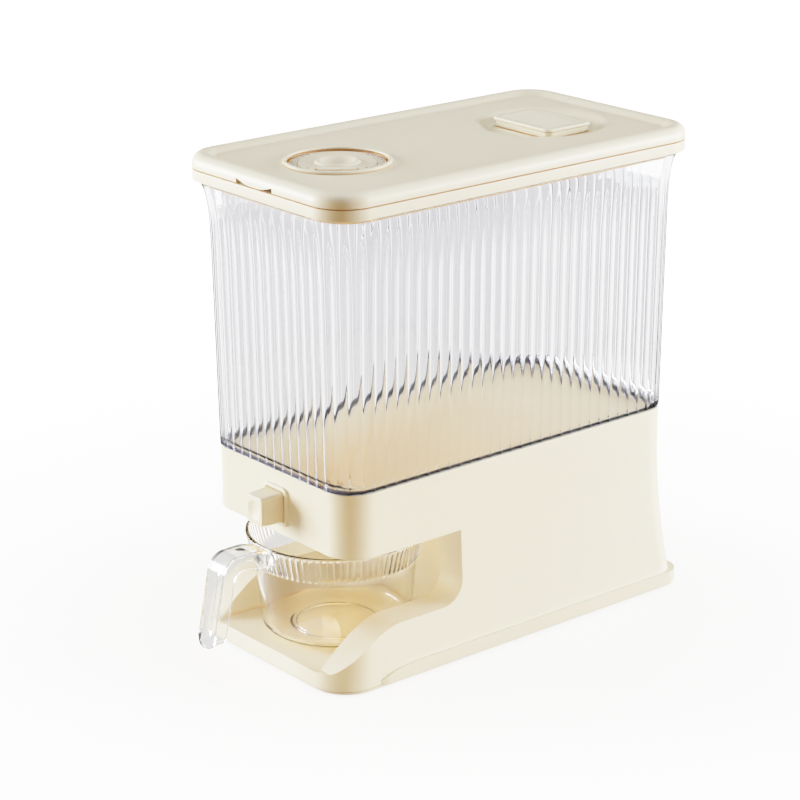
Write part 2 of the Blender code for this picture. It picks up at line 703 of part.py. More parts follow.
def make_dial():
    place = (0.0, DIAL_Y)
    seat = PANEL_TOP + GAP
    bezel = [(38.4, seat), (39.4, seat), (DIAL_OUTER, 372.3), (39.4, 373.5), (38.7, 374.1), (37.7, 374.1)]
    bezel += [(36.8, 373.5), (36.8, 372.7)]
    turned("dial_bezel", bezel, place, material="cream", pivot="lid_hinge_axis")
    low = WELL_FLOOR + GAP
    ring = [(29.2, low), (37.9, low), (37.9, 370.0), (36.2, 370.2), (36.2, 371.3), (29.2, 371.3)]
    turned("date_ring", ring, place, material="cream", pivot="dial_axis")
    knob = [(0, 362.7), (4.0, 362.7), (4.0, low), (28.8, low), (28.8, 371.0), (28.2, 371.4), (16.4, 371.5)]
    knob += [(15.7, 372.9), (15.0, 373.2), (13.4, 373.2), (11.8, 371.6), (9.0, 369.9), (0, 369.5)]
    dial_knob = turned("dial_knob", knob, place, material="cream", pivot="dial_axis")
    slot = [(-15.0, -24.3), (15.0, -24.3), (15.0, -23.1), (-15.0, -23.1)]
    cut(dial_knob, extruded("pointer_slot", [about_dial(*corner) for corner in slot], "z", 370.2, 380.0))
    clip = [(4.3, 363.0), (9.0, 363.0), (9.0, 365.1), (4.3, 365.1)]
    turned("dial_clip", clip, place, 24, material="white", pivot="dial_axis")


def box_outline(inset, radius=4.0):
    return centred(BOX_HALF_X - inset, BOX_HALF_Y - inset, radius, DISH_Y, steps=3)


def make_desiccant_box():
    shoulder = DISH_FLOOR + GAP
    rings = [
        (box_outline(3.5), 349.0),
        (box_outline(3.5), shoulder),
        (box_outline(1.0), shoulder),
        (box_outline(1.0), 371.2),
        (box_outline(3.2, 3.0), 371.2),
        (box_outline(3.2, 3.0), 369.0),
        (box_outline(5.3, 2.5), 368.4),
        (box_outline(5.3, 2.5), 351.0),
    ]
    tray = loft("desiccant_box", rings, material="cream", pivot="desiccant_rest")
    for k in range(-2, 3):
        slot = box(f"vent_{k}", (k * 9.0 - 1.5, k * 9.0 + 1.5), (DISH_Y - 11, DISH_Y + 11), (345.0, 353.0))
        cut(tray, slot)
    plate = [
        (box_outline(3.5, 3.0), 369.4),
        (box_outline(3.5, 3.0), 371.5),
        (box_outline(0.0), 371.5),
        (box_outline(0.0), 373.4),
        (box_outline(0.5), 373.9),
    ]
    loft("desiccant_lid", plate, material="cream", pivot="desiccant_rest")
    pack = [(box_outline(8.0), 351.4), (box_outline(6.5), 354.0), (box_outline(6.5), 359.0), (box_outline(8.5), 361.5)]
    loft("desiccant_pack", pack, material="white", pivot="desiccant_rest")


# ---------------------------------------------------------------- the whole object

clear_scene()
body = make_empty("body", (0.0, BODY_Y, 0.0), None)
empties = {"body": body}
for pivot_name, pivot_place in PIVOTS.items():
    empties[pivot_name] = make_empty(pivot_name, pivot_place, body)
materials = {
    "cream": make_material("cream_plastic", (0.86, 0.82, 0.70), 0.4),
    "white": make_material("white_plastic", (0.85, 0.85, 0.83), 0.5),
    "clear": make_material("clear_plastic", (0.92, 0.92, 0.96), 0.05, transmission=1.0),
    "silicone": make_material("silicone", (0.80, 0.80, 0.80), 0.6),
    "rubber": make_material("rubber", (0.45, 0.44, 0.42), 0.8),
    "steel": make_material("steel", (0.62, 0.62, 0.64), 0.3, metallic=1.0),
}

make_base_housing()
make_bottom_plate()
make_feet()
make_screws()
make_hopper_floor()
make_gate_guide()
make_gate_slide()
make_push_button()
make_button_screw()
make_gate_springs()
make_measuring_cup()
make_container()
ring_seal("container_seal", centred(81.2, 157.7, 20.4), centred(79.0, 155.5, 18.2), 146.6, 147.7, "container_rest")
make_lid_frame()
ring_seal("lid_seal", wall_outline(4.0), wall_outline(0.7), 352.4, 354.6, "lid_rest")
make_hinge_pins()
make_lid_cover()
ring_seal("cover_seal", lid_outline(12.8), lid_outline(15.4), SEAM + GAP, 368.9, "lid_hinge_axis")
make_dial()
make_desiccant_box()
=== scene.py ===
import math

import bmesh
import bpy
from mathutils import Matrix, Vector


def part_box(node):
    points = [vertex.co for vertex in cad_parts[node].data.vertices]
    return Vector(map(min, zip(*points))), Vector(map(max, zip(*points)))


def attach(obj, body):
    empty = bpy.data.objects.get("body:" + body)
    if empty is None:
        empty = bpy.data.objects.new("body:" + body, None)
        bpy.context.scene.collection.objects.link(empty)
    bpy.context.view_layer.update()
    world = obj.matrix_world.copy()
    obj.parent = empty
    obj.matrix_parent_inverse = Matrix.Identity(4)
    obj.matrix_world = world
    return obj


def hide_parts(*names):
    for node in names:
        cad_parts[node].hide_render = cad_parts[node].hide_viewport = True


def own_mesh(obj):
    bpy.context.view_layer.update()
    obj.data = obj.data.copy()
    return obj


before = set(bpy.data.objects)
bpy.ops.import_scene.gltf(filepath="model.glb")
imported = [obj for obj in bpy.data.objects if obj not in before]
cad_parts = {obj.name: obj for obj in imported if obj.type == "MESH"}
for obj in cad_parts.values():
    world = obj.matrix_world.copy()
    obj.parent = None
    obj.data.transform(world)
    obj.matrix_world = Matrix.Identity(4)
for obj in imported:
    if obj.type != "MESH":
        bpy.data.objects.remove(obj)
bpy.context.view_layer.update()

# Millimetres in the body's frame: X across, the front at -Y, Z up, and Y = 0 at the middle of the lid.
MM = 0.001
BODY_Y = 27.25  # where the lid's middle stands in the row frame

LID_HALF_X, LID_HALF_Y, LID_RADIUS = 95.0, 175.0, 29.0
LID_TOP, LID_EDGE_ROUND, PANEL_TOP, PANEL_UNDERSIDE = 375.0, 7.5, 371.5, 369.0
SEAM, FRAME_BOTTOM, SPIGOT_BOTTOM = 364.05, 355.35, 351.2
TAB_HALF_X, TAB_BOW, TAB_TOP = 21.0, 4.0, 370.2
HINGE_X, HINGE_Y, HINGE_Z = 50.0, 171.5, 368.0
KNUCKLE_RADIUS, HINGE_BORE = 3.2, 1.5
DIAL_Y, DISH_Y = -100.0, 98.3
SLOT_TURN = 50.7  # degrees that the knob's pointer slot is turned at rest
MARK_LOW, MARK_TOP, MARK_HALF_WIDTH = 371.2, 371.42, 0.45
MARKS_EACH_WAY, MARK_STEP = 8, 6.0
BOX_HALF_X, BOX_HALF_Y = 32.5, 22.75
GRIP_RIBS, GRIP_HALF_X = 22, 26.0
CONTAINER_HALF_X, CONTAINER_HALF_Y, CONTAINER_RADIUS = 83.6, 163.5, 24.0
CONTAINER_BOTTOM, CONTAINER_TOP, CONTAINER_WALL = 151.3, 355.0, 2.5
FLUTES, FLUTE_DEPTH = 94, 0.85
FLUTE_FADE = (300.0, 345.0)
BASE_TOP, BASE_BOTTOM, SKIRT_TOP, SHELL_WALL = 151.0, 3.3, 115.0, 3.0
BAY_HALF_X, BAY_REAR, BAY_CORNER = 62.5, -34.0, 30.0
BAY_FLOOR, BAY_CEILING = 13.5, 101.75
JAMB_Y, JAMB_ROUND = -55.5, 19.0
SILL_REAR_Z, SILL_FRONT_Z, SILL_BEND_Y, SILL_FRONT_Y = 45.5, 15.0, -115.0, -171.0
OUTLET_Y, OUTLET_HALF_X, OUTLET_HALF_Y = -107.0, 26.0, 9.0
HOPPER_LOW, HOPPER_TOP = 120.0, 146.3
BUTTON_Z, BUTTON_FRONT, BUTTON_TRAVEL = 124.0, -182.0, 14.0
BUTTON_HOLE = (10.9, 12.1)
SPRING_WIRE, SPRING_TURNS = 0.4, 7
CUP_Y, CUP_RIBS, CUP_RIB_LIFT = -107.0, 82, 0.8
HANDLE_REACH, HANDLE_TOP, HANDLE_TIP_Z, HANDLE_HALF_X = 229.5, 96.0, 27.5, 10.0
HANDLE_WALL, HANDLE_BEND = 2.4, 15.0

# Light levels, directions and places of the stage. Its lengths are in metres and its angles in degrees.
SHOULDER = 5.0  # how soon the picture's tones near white
FILL, FLOOR_BOUNCE = (0.050, 0.020, 0.001), (0.50, 0.31, 0.09)
BESIDE, BEHIND = (0.633, 0.774, 0.0), (-0.774, 0.633, 0.0)
BESIDE_STOPS = [(0.0, 0.27), (0.12, 0.29), (0.25, 0.64), (0.60, 0.80)]
BESIDE_STOPS += [(0.80, (0.34, 0.34, 0.37)), (1.0, (0.30, 0.30, 0.33))]
BEHIND_STOPS = [(0.0, (0.45, 0.45, 0.50)), (0.4, 1.0)]
FLOOR_REACH, GLOW_NEAR, GLOW_FAR, GLOW_LEAST = 8.0, 0.2, 0.9, 0.38
MIDDLE, NEAR_CORNER = (0.0, 0.0, 0.19), (0.08, -0.135, 0.05)
CAMERA_PLACE = (1.4199, -1.18125, 0.8073)
CAMERA_AZIMUTH, CAMERA_PITCH, CAMERA_ROLL = 50.69, 18.94, -0.40


# ---------------------------------------------------------------- materials


def fill_ramp(node, stops):
    elements = node.color_ramp.elements
    while len(elements) < len(stops):
        elements.new(0.5)
    for element, (position, value) in zip(elements, stops):
        element.position = position
        element.color = (*value, 1.0) if isinstance(value, tuple) else (value, value, value, 1.0)


def put(tree, socket, value):
    """Sets an input, or links it where the value is another node's output."""
    if isinstance(value, bpy.types.NodeSocket):
        tree.links.new(value, socket)
    else:
        socket.default_value = value


def mixed(tree, kind, factor, first, second, mode="MIX"):
    """The result of a Mix node over colours or numbers."""
    mix = tree.nodes.new("ShaderNodeMix")
    mix.data_type = kind
    mix.blend_type = mode
    sockets = [i for i in mix.inputs if i.enabled]
    for socket, value in zip((sockets[0], *sockets[-2:]), (factor, first, second)):
        put(tree, socket, value)
    return [o for o in mix.outputs if o.enabled][0]


class Nodes:
    """Small wrapper that adds nodes to a material and links them."""

    def __init__(self, name):
        self.mat = bpy.data.materials.new(name)
        self.mat.use_nodes = True
        self.tree = self.mat.node_tree
        self.shader = self.tree.nodes["Principled BSDF"]
        self.place = self.add("ShaderNodeTexCoord").outputs["Object"]

    def add(self, kind, inputs=None, **settings):
        node = self.tree.nodes.new(kind)
        for key, value in settings.items():
            setattr(node, key, value)
        for key, value in (inputs or {}).items():
            put(self.tree, node.inputs[key], value)
        return node

    def noise(self, scale, detail=3.0, stretch=None):
        source = self.place
        if stretch:
            source = self.add("ShaderNodeMapping", {"Vector": source, "Scale": stretch}).outputs["Vector"]
        inputs = {"Vector": source, "Scale": scale, "Detail": detail}
        return self.add("ShaderNodeTexNoise", inputs).outputs["Fac"]

    def height(self):
        return self.add("ShaderNodeSeparateXYZ", {"Vector": self.place}).outputs["Z"]

    def share(self, value, low, high):
        """Where a value stands between low and high, from 0 to 1."""
        inputs = {"Value": value, "From Min": low, "From Max": high}
        return self.add("ShaderNodeMapRange", inputs).outputs["Result"]

    def arithmetic(self, operation, first, second):
        return self.add("ShaderNodeMath", {0: first, 1: second}, operation=operation).outputs["Value"]

    def ramp(self, factor, *stops):
        """A colour ramp of (position, value), where a value is a grey number or a colour."""
        node = self.add("ShaderNodeValToRGB", {"Fac": factor})
        fill_ramp(node, stops)
        return node.outputs["Color"]

    def set(self, name, value):
        put(self.tree, self.shader.inputs[name], value)

    def bump(self, height, distance, strength=1.0, under=None):
        inputs = {"Height": height, "Distance": distance, "Strength": strength}
        if under:
            inputs["Normal"] = under
        return self.add("ShaderNodeBump", inputs).outputs["Normal"]


def moulded(name, colour, shade, roughness=(0.36, 0.46), grain=0.00002, soft=0.0,
            crevice_shade=None, reach=0.006, own=False):
    """Moulded plastic: faint cloudy colour, a fine matt grain and slow waviness.

    A crevice colour paints shade into the gaps up to about reach metres wide, or with own only into those
    between its own faces.
    """
    m = Nodes(name)
    base = m.ramp(m.noise(9.0), (0.35, shade), (0.65, colour))
    # Painted shade: ambient occlusion pulls the colour towards the crevice colour in gaps, where shade falls.
    if crevice_shade:
        inside = m.add("ShaderNodeAmbientOcclusion", {"Distance": reach})
        inside.samples = 6
        inside.only_local = own
        painted_crevice_shade = m.ramp(inside.outputs["AO"], (0.10, crevice_shade), (0.72, (1.0, 1.0, 1.0)))
        base = mixed(m.tree, "RGBA", 1.0, base, painted_crevice_shade, "MULTIPLY")
    m.set("Base Color", base)
    m.set("Roughness", m.ramp(m.noise(60.0), (0.3, roughness[0]), (0.7, roughness[1])))
    slow = m.bump(m.noise(14.0, 1.0), 0.0006, 0.25)
    m.set("Normal", m.bump(m.noise(2600.0, 2.0), grain, 0.6, slow))
    if soft:
        m.set("Subsurface Weight", soft)
        m.set("Subsurface Radius", (1.0, 0.6, 0.25))
        m.set("Subsurface Scale", 0.004)
    m.set("IOR", 1.48)
    return m.mat


def hopper_plastic(name):
    """The cream plastic of the hopper, with painted shade: darker and more orange lower down, towards the
    outlet.
    """
    m = Nodes(name)
    unevenness = m.arithmetic("MULTIPLY", m.noise(25.0), 0.006)
    uneven = m.arithmetic("ADD", m.height(), unevenness)
    share = m.share(uneven, 0.118, 0.152)
    # Painted shade: the colour deepens to orange with lower height.
    tones = [(0.0, (0.80, 0.47, 0.17)), (0.5, (0.84, 0.63, 0.34)), (0.85, (0.88, 0.75, 0.50))]
    m.set("Base Color", m.ramp(share, *tones))
    m.set("Roughness", m.ramp(m.noise(60.0), (0.3, 0.38), (0.7, 0.5)))
    m.set("Normal", m.bump(m.noise(2600.0, 2.0), 0.00002, 0.6))
    return m.mat


def clear_plastic(name, colour, edge_shade, edges, roughness=0.02):
    """Clear plastic. edges gives the strength of a painted edge shade at heights in metres, which darkens a
    wall's cut edges.
    """
    m = Nodes(name)
    low, high = edges[0][0], edges[-1][0]
    # Painted shade: the colour is pulled towards the edge colour at the listed heights.
    stops = []
    for z, strength in edges:
        tone = tuple(c + (e - c) * strength for c, e in zip(colour, edge_shade))
        stops.append(((z - low) / (high - low), tone))
    m.set("Base Color", m.ramp(m.share(m.height(), low, high), *stops))
    m.set("Roughness", m.ramp(m.noise(30.0), (0.3, roughness * 0.5), (0.7, roughness)))
    m.set("Normal", m.bump(m.noise(40.0, 1.0, (1.0, 1.0, 0.3)), 0.0002, 0.3))
    m.set("Transmission Weight", 1.0)
    m.set("IOR", 1.49)
    return m.mat


def brushed_metal(name, colour, roughness):
    m = Nodes(name)
    m.set("Base Color", m.ramp(m.noise(400.0), (0.3, tuple(c * 0.85 for c in colour)), (0.7, colour)))
    m.set("Metallic", 1.0)
    m.set("Roughness", m.ramp(m.noise(900.0), (0.3, roughness), (0.7, roughness + 0.12)))
    m.set("Normal", m.bump(m.noise(3000.0, 2.0), 0.00001, 0.5))
    return m.mat


def fibrous(name, colour):
    """Pressed fibres, for the desiccant's sachet."""
    m = Nodes(name)
    fibres = m.noise(700.0, 6.0, (1.0, 0.35, 1.0))
    m.set("Base Color", m.ramp(fibres, (0.3, tuple(c * 0.86 for c in colour)), (0.7, colour)))
    m.set("Roughness", 0.9)
    m.set("Normal", m.bump(fibres, 0.0001, 0.8))
    return m.mat


# ---------------------------------------------------------------- building blocks


def arc(cx, cy, radius, start, end, steps):
    angles = [math.radians(start + (end - start) * k / steps) for k in range(steps + 1)]
    return [(cx + radius * math.cos(a), cy + radius * math.sin(a)) for a in angles]


def outline(half_x, front, rear, front_radius, rear_radius=None, steps=20):
    """A rounded rectangle in X and Y."""
    rear_radius = rear_radius or front_radius
    points = arc(half_x - rear_radius, rear - rear_radius, rear_radius, 0, 90, steps)
    points += arc(rear_radius - half_x, rear - rear_radius, rear_radius, 90, 180, steps)
    points += arc(front_radius - half_x, front + front_radius, front_radius, 180, 270, steps)
    points += arc(half_x - front_radius, front + front_radius, front_radius, 270, 360, steps)
    return points


def centred(half_x, half_y, radius, centre_y=0.0, steps=20):
    return outline(half_x, centre_y - half_y, centre_y + half_y, radius, steps=steps)


AXES = {"x": (1, 2, 0), "y": (0, 2, 1), "z": (0, 1, 2)}


def spot(axis, a, b, c):
    point = [0.0, 0.0, 0.0]
    for place, value in zip(AXES[axis], (a, b, c)):
        point[place] = value
    return point


def from_rings(name, rings, closed=False, caps=True):
    """A mesh over rings of 3D points with equal counts."""
    count = len(rings[0])
    verts = [p for ring in rings for p in ring]
    faces = []
    last = len(rings) if closed else len(rings) - 1
    for k in range(last):
        low, high = k * count, (k + 1) % len(rings) * count
        for i in range(count):
            j = (i + 1) % count
            faces.append((low + i, low + j, high + j, high + i))
    if caps and not closed:
        faces.append(tuple(range(count)))
        faces.append(tuple(range((len(rings) - 1) * count, len(rings) * count)))
    return from_faces(name, verts, faces)


def from_faces(name, verts, faces):
    mesh = bpy.data.meshes.new(name)
    mesh.from_pydata([(x * MM, (y + BODY_Y) * MM, z * MM) for x, y, z in verts], [], faces)
    bm = bmesh.new()
    bm.from_mesh(mesh)
    bmesh.ops.recalc_face_normals(bm, faces=bm.faces)
    bm.to_mesh(mesh)
    bm.free()
    ob = bpy.data.objects.new(name, mesh)
    bpy.context.scene.collection.objects.link(ob)
    return ob


def loft(name, rings, axis="z", closed=False):
    return from_rings(name, [[spot(axis, a, b, c) for a, b in points] for points, c in rings], closed)


def extruded(name, points, axis, low, high):
    return loft(name, [(points, low), (points, high)], axis)


def box(name, x, y, z):
    return extruded(name, [(x[0], y[0]), (x[1], y[0]), (x[1], y[1]), (x[0], y[1])], "z", z[0], z[1])


def rod(name, centre, radius, axis, low, high, steps=40):
    return extruded(name, arc(centre[0], centre[1], radius, 0, 360, steps)[:-1], axis, low, high)


def between(rings, steps):
    """Faces over closed rings of vertex numbers, where a ring of one number is a point on the axis."""
    faces = []
    for first, second in zip(rings, rings[1:] + rings[:1]):
        if len(first) == len(second) == 1:
            continue
        for i in range(steps):
            j = (i + 1) % steps
            lower = [first[0]] if len(first) == 1 else [first[i], first[j]]
            upper = [second[0]] if len(second) == 1 else [second[j], second[i]]
            faces.append(tuple(lower + upper))
    return faces


def turned(name, profile, centre=(0.0, 0.0), steps=128):
    """A solid of revolution about a vertical axis. The profile is a closed outline of (radius, z)."""
    verts, rings = [], []
    for radius, z in profile:
        count = steps if radius else 1
        rings.append(list(range(len(verts), len(verts) + count)))
        verts += [(x, y, z) for x, y in arc(centre[0], centre[1], radius, 0, 360, count)[:-1]]
    return from_faces(name, verts, between(rings, steps))


def ball(name, radius, centre, across, up, poles="z"):
    """A sphere with its poles along z or y."""
    bm = bmesh.new()
    bmesh.ops.create_uvsphere(bm, u_segments=across, v_segments=up, radius=radius)
    verts = []
    for v in bm.verts:
        point = v.co if poles == "z" else v.co.xzy
        verts.append(tuple(part + shift for part, shift in zip(point, centre)))
    faces = [[v.index for v in face.verts] for face in bm.faces]
    bm.free()
    return from_faces(name, verts, faces)


def apply_modifiers(ob):
    """Makes the modified shape the object's own mesh."""
    mesh = bpy.data.meshes.new_from_object(ob.evaluated_get(bpy.context.evaluated_depsgraph_get()))
    ob.modifiers.clear()
    ob.data = mesh
    return ob


def combine(ob, operation, *tools):
    """Booleans with tools that are then removed."""
    for tool in tools:
        modifier = ob.modifiers.new("bool", "BOOLEAN")
        modifier.operation = operation
        modifier.solver = "EXACT"
        modifier.object = tool
    apply_modifiers(ob)
    for tool in tools:
        bpy.data.objects.remove(tool)
    return ob


def cut(ob, *tools):
    return combine(ob, "DIFFERENCE", *tools)


def add(ob, *tools):
    return combine(ob, "UNION", *tools)


def edge_round(ob, width, segments=3, angle=35.0, weight=None):
    """Rounds sharp edges. weight(x, y, z) gives an edge its share of the width, by its middle."""
    bm = bmesh.new()
    bm.from_mesh(ob.data)
    layer = bm.edges.layers.float.new("bevel_weight_edge")
    for edge in bm.edges:
        if len(edge.link_faces) == 2 and edge.calc_face_angle(0.0) > math.radians(angle):
            middle = (edge.verts[0].co + edge.verts[1].co) / 2 / MM
            edge[layer] = weight(middle.x, middle.y - BODY_Y, middle.z) if weight else 1.0
    bm.to_mesh(ob.data)
    bm.free()
    bevel = ob.modifiers.new("round", "BEVEL")
    bevel.limit_method = "WEIGHT"
    bevel.width = width * MM
    bevel.segments = segments
    bevel.use_clamp_overlap = True
    bevel.miter_outer = "MITER_ARC"
    return apply_modifiers(ob)


def show(ob, body, material, replaces=(), angle=40.0):
    """Finishes a piece: shading, its material, the body it moves with and the CAD nodes it stands for."""
    ob.data.shade_smooth()
    ob.data.set_sharp_from_angle(angle=math.radians(angle))
    modifier = ob.modifiers.new("normals", "WEIGHTED_NORMAL")
    modifier.keep_sharp = True
    ob.data.materials.clear()
    ob.data.materials.append(material)
    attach(ob, body)
    if replaces:
        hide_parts(*replaces)
    return ob


# ---------------------------------------------------------------- base


def flare(z):
    return max(0.0, (SKIRT_TOP - z) / SKIRT_TOP) ** 1.6


def base_outline(z, inset=0.0, steps=20):
    f = flare(z)
    front = -161.3 - 16.0 * f + inset
    rear = 161.3 + 8.6 * f - inset
    return outline(84.8 + 6.8 * f - inset, front, rear, 24.0 + 6 * f - inset, 24.0 - 6 * f - inset, steps)


def bay_space(name, grow=0.0, ceiling=BAY_CEILING, steps=10):
    """The bay: a pocket for the cup joined to an opening through both side walls."""
    centre = (JAMB_Y - JAMB_ROUND, SILL_REAR_Z + JAMB_ROUND)
    side = [(-210.0, ceiling), (JAMB_Y + grow, ceiling)]
    side += arc(*centre, JAMB_ROUND + grow, 0, -90, steps)
    for k in range(25):
        share = k / 24
        y = SILL_BEND_Y + (SILL_FRONT_Y - SILL_BEND_Y) * share
        rise = math.cos(math.pi / 2 * share)
        side.append((y, SILL_FRONT_Z + (SILL_REAR_Z - SILL_FRONT_Z) * rise - grow))
    side.append((-210.0, SILL_FRONT_Z - grow))
    opening = extruded(name, side, "x", -110.0, 110.0)
    plan = outline(BAY_HALF_X + grow, -210.0, BAY_REAR + grow, 5.0, BAY_CORNER + grow)
    return add(opening, extruded(name + "_pocket", plan, "z", BAY_FLOOR - grow, ceiling - 0.02))


def button_outline(half_x, half_z, radius=2.5, steps=8):
    return [(x, z + BUTTON_Z) for x, z in centred(half_x, half_z, radius, steps=steps)]


def make_base(cream):
    heights = [BASE_BOTTOM, 8, 14, 20, 27, 35, 44, 54, 66, 80, 96, SKIRT_TOP, 150.2]
    rings = [(base_outline(z), z) for z in heights]
    rings += [(base_outline(150.7, 0.2), 150.7), (base_outline(BASE_TOP, 0.8), BASE_TOP)]
    shell = loft("base_shell", rings)
    lower = [-5.0, 12.0, 25.0, 40.0, 60.0, 85.0, SKIRT_TOP, 141.5]
    inner = [(base_outline(z, SHELL_WALL), z) for z in lower]
    inner += [(base_outline(z, 2 * SHELL_WALL), z) for z in (141.5, 143.9)]
    inner += [(base_outline(z, SHELL_WALL), z) for z in (143.9, BASE_TOP + 5)]
    cavity = loft("cavity", inner)
    cut(cavity, bay_space("bay_walls", SHELL_WALL, BAY_CEILING + 4.0, 6))
    cut(shell, cavity)
    cut(shell, bay_space("bay"))
    duct_plan = centred(OUTLET_HALF_X + 2.5, OUTLET_HALF_Y + 2.0, 1.0, OUTLET_Y, steps=2)
    duct = extruded("duct", duct_plan, "z", BAY_CEILING - 5, BAY_CEILING + 10)
    button_hole = extruded("button_hole", button_outline(*BUTTON_HOLE), "y", -170.0, -150.0)
    cut(shell, duct, button_hole)

    edge_round(shell, 3.0, 4, 35.0, shell_softness)
    show(shell, "base", cream, ["base_housing"])


def shell_softness(x, y, z):
    """The sill's edges are the softest, then the bay floor's front edge."""
    if abs(x) > 80 and 14.0 < z < 60.0 and y < JAMB_Y + 2:
        return 1.0
    if y < -150.0 and 10.0 < z < 17.0:
        return 0.8
    return 0.3 if z < 140 else 0.1


def make_plinth(cream):
    """The foot band round the base, which rises from the ground in a quarter ellipse at each side."""
    side = [(-138.5, BASE_BOTTOM - 2)]
    for k in range(1, 17):
        angle = math.radians(180 - 90 * k / 16)
        side.append((-100.0 + 38.5 * math.cos(angle), BASE_BOTTOM + 9.7 * math.sin(angle)))
    side += [(190.0, 13.0), (190.0, BASE_BOTTOM - 2)]
    plinth = extruded("base_plinth", side, "x", -110.0, 110.0)
    footprint = outline(92.8, -150.0, 173.0, 20.0, 18.0)
    combine(plinth, "INTERSECT", extruded("footprint", footprint, "z", BASE_BOTTOM, 20.0))
    hollow = outline(84.0, -152.0, 163.0, 20.0, 14.0)
    cut(plinth, extruded("plinth_hollow", hollow, "z", -10.0, 30.0))
    edge_round(plinth, 0.9, 3, 35.0, lambda x, y, z: 1.0 if z > 5 else 0.5)
    show(plinth, "base", cream)


def make_collar(cream):
    """The raised ring round the push button."""
    collar = [(button_outline(14.2, 15.2, 5.0), -160.5), (button_outline(14.2, 15.2, 5.0), -162.7)]
    collar += [(button_outline(13.9, 14.9, 4.8), -163.3), (button_outline(13.2, 14.2, 4.4), -163.5)]
    collar += [(button_outline(11.6, 12.8, 3.2), -163.5), (button_outline(10.95, 12.15, 2.6), -163.0)]
    collar += [(button_outline(*BUTTON_HOLE, 2.5), -160.5)]
    show(loft("button_collar", collar, "y", True), "base", cream)


def both_sides(places):
    """Each place at the left and at the right."""
    return [(side * x, y) for x, y in places for side in (-1, 1)]


def make_plate(cream):
    """The bottom plate, with a seat for each screw's head and each foot."""
    inset = outline(91.0, -175.2, 171.6, 28.5, 16.5)
    full = outline(91.6, -175.8, 172.2, 29.0, 17.0)
    plate = loft("base_plate", [(inset, 1.0), (full, 1.4), (full, 2.6), (inset, 3.0)])
    screws = both_sides([(83.3, 135.0), (83.3, 15.0), (45.0, -150.0)])
    feet = both_sides([(72.0, -145.0), (74.0, 148.0)])
    seats = [rod("seat", place, 3.4, "z", 0.0, 2.2) for place in screws]
    seats += [rod("pass", place, 1.8, "z", 0.0, 4.0) for place in screws]
    seats += [rod("foot_seat", place, 7.0, "z", 0.0, 2.0) for place in feet]
    cut(plate, *seats)
    show(plate, "base", cream, ["bottom_plate"])


def make_hopper(cream):
    """The sloped floor, with softened ridges where its four slopes meet."""
    rings = []
    steps = 14
    for k in range(steps + 1):
        share = k / steps
        half_x = OUTLET_HALF_X + 52.0 * share
        front = OUTLET_Y - OUTLET_HALF_Y - 38.5 * share
        rear = OUTLET_Y + OUTLET_HALF_Y + 252.5 * share
        z = HOPPER_LOW + (HOPPER_TOP - HOPPER_LOW) * share
        rings.append((outline(half_x, front, rear, 3.0 + 14.2 * share), z))
    rings.append((centred(78.6, 155.1, 17.8), HOPPER_TOP))
    rings.append((centred(81.5, 158.0, 20.7), HOPPER_TOP))
    rings.append((centred(81.5, 158.0, 20.7), HOPPER_TOP - 2.1))
    rings.append((centred(77.0, 153.5, 16.2), HOPPER_TOP - 2.1))
    collar = centred(OUTLET_HALF_X + 2.0, OUTLET_HALF_Y + 2.0, 5.0, OUTLET_Y)
    rings += [(collar, 118.6), (collar, 116.9)]
    rings.append((centred(OUTLET_HALF_X, OUTLET_HALF_Y, 3.0, OUTLET_Y), 116.9))
    show(loft("hopper_slope", rings, "z", True), "base", cream, ["hopper_floor"])


def make_button(cream):
    rings = []
    for inset, y in [(1.0, 0.0), (0.45, 0.12), (0.12, 0.45), (0.0, 1.0)]:
        rings.append((button_outline(9.75 - inset, 11.05 - inset, 2.6 - inset * 0.6), BUTTON_FRONT + y))
    rings.append((button_outline(10.6, 11.8, 2.6), -159.5))
    rings.append((button_outline(8.7, 9.9, 1.6), -159.5))
    rings.append((button_outline(8.0, 9.2, 1.6), BUTTON_FRONT + 2.2))
    button = loft("button_cap", rings, "y")
    boss = box("boss", (-5.0, 5.0), (BUTTON_FRONT + 1.5, -151.8), (115.0, 125.0))
    skirt = box("skirt", (-13.0, 13.0), (-158.0, -156.4), (110.0, 131.0))
    add(button, boss, skirt)
    dimple = ball("dimple", 24.0, (0.0, BUTTON_FRONT - 22.7, BUTTON_Z), 96, 64, "y")
    screw_hole = rod("screw_hole", (0.0, 120.0), 1.4, "y", -161.0, -150.0)
    cut(button, dimple, screw_hole)
    edge_round(button, 0.35, 2, 25.0, lambda x, y, z: 1.0 if y < -180 else 0.5)
    show(button, "button", cream, ["push_button"], 30.0)


def make_springs(steel):
    """The gate's two return coils, built at rest; in the real dispenser they flatten towards the guide's stop
    as the button goes in.
    """
    per_turn, sides = 24, 10
    total = SPRING_TURNS * per_turn
    for side in ("left", "right"):
        low, high = [[value / MM for value in corner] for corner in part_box(f"gate_spring_{side}")]
        x, z = (low[0] + high[0]) / 2, (low[2] + high[2]) / 2
        coil, length = (high[0] - low[0]) / 2 - SPRING_WIRE, high[1] - low[1]
        rings = []
        for k in range(total + 1):
            angle = 2 * math.pi * k / per_turn
            y = low[1] - BODY_Y + SPRING_WIRE + (length - 2 * SPRING_WIRE) * k / total
            ring = []
            for s in range(sides):
                around = 2 * math.pi * s / sides
                reach = coil + SPRING_WIRE * math.cos(around)
                across, up = reach * math.cos(angle), reach * math.sin(angle)
                ring.append((x + across, y + SPRING_WIRE * math.sin(around), z + up))
            rings.append(ring)
        spring = from_rings(f"return_spring_{side}", rings)
        show(spring, "base", steel, [f"gate_spring_{side}"])
        apply_modifiers(spring)
        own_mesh(spring)


# ---------------------------------------------------------------- container


def container_spread(z):
    """How far the wall stands out at a height: a slight taper, and a flared mouth."""
    above = max(0.0, (z - FLUTE_FADE[0]) / (CONTAINER_TOP - FLUTE_FADE[0]))
    return 0.0165 * (z - CONTAINER_BOTTOM) + 6.0 * above**5


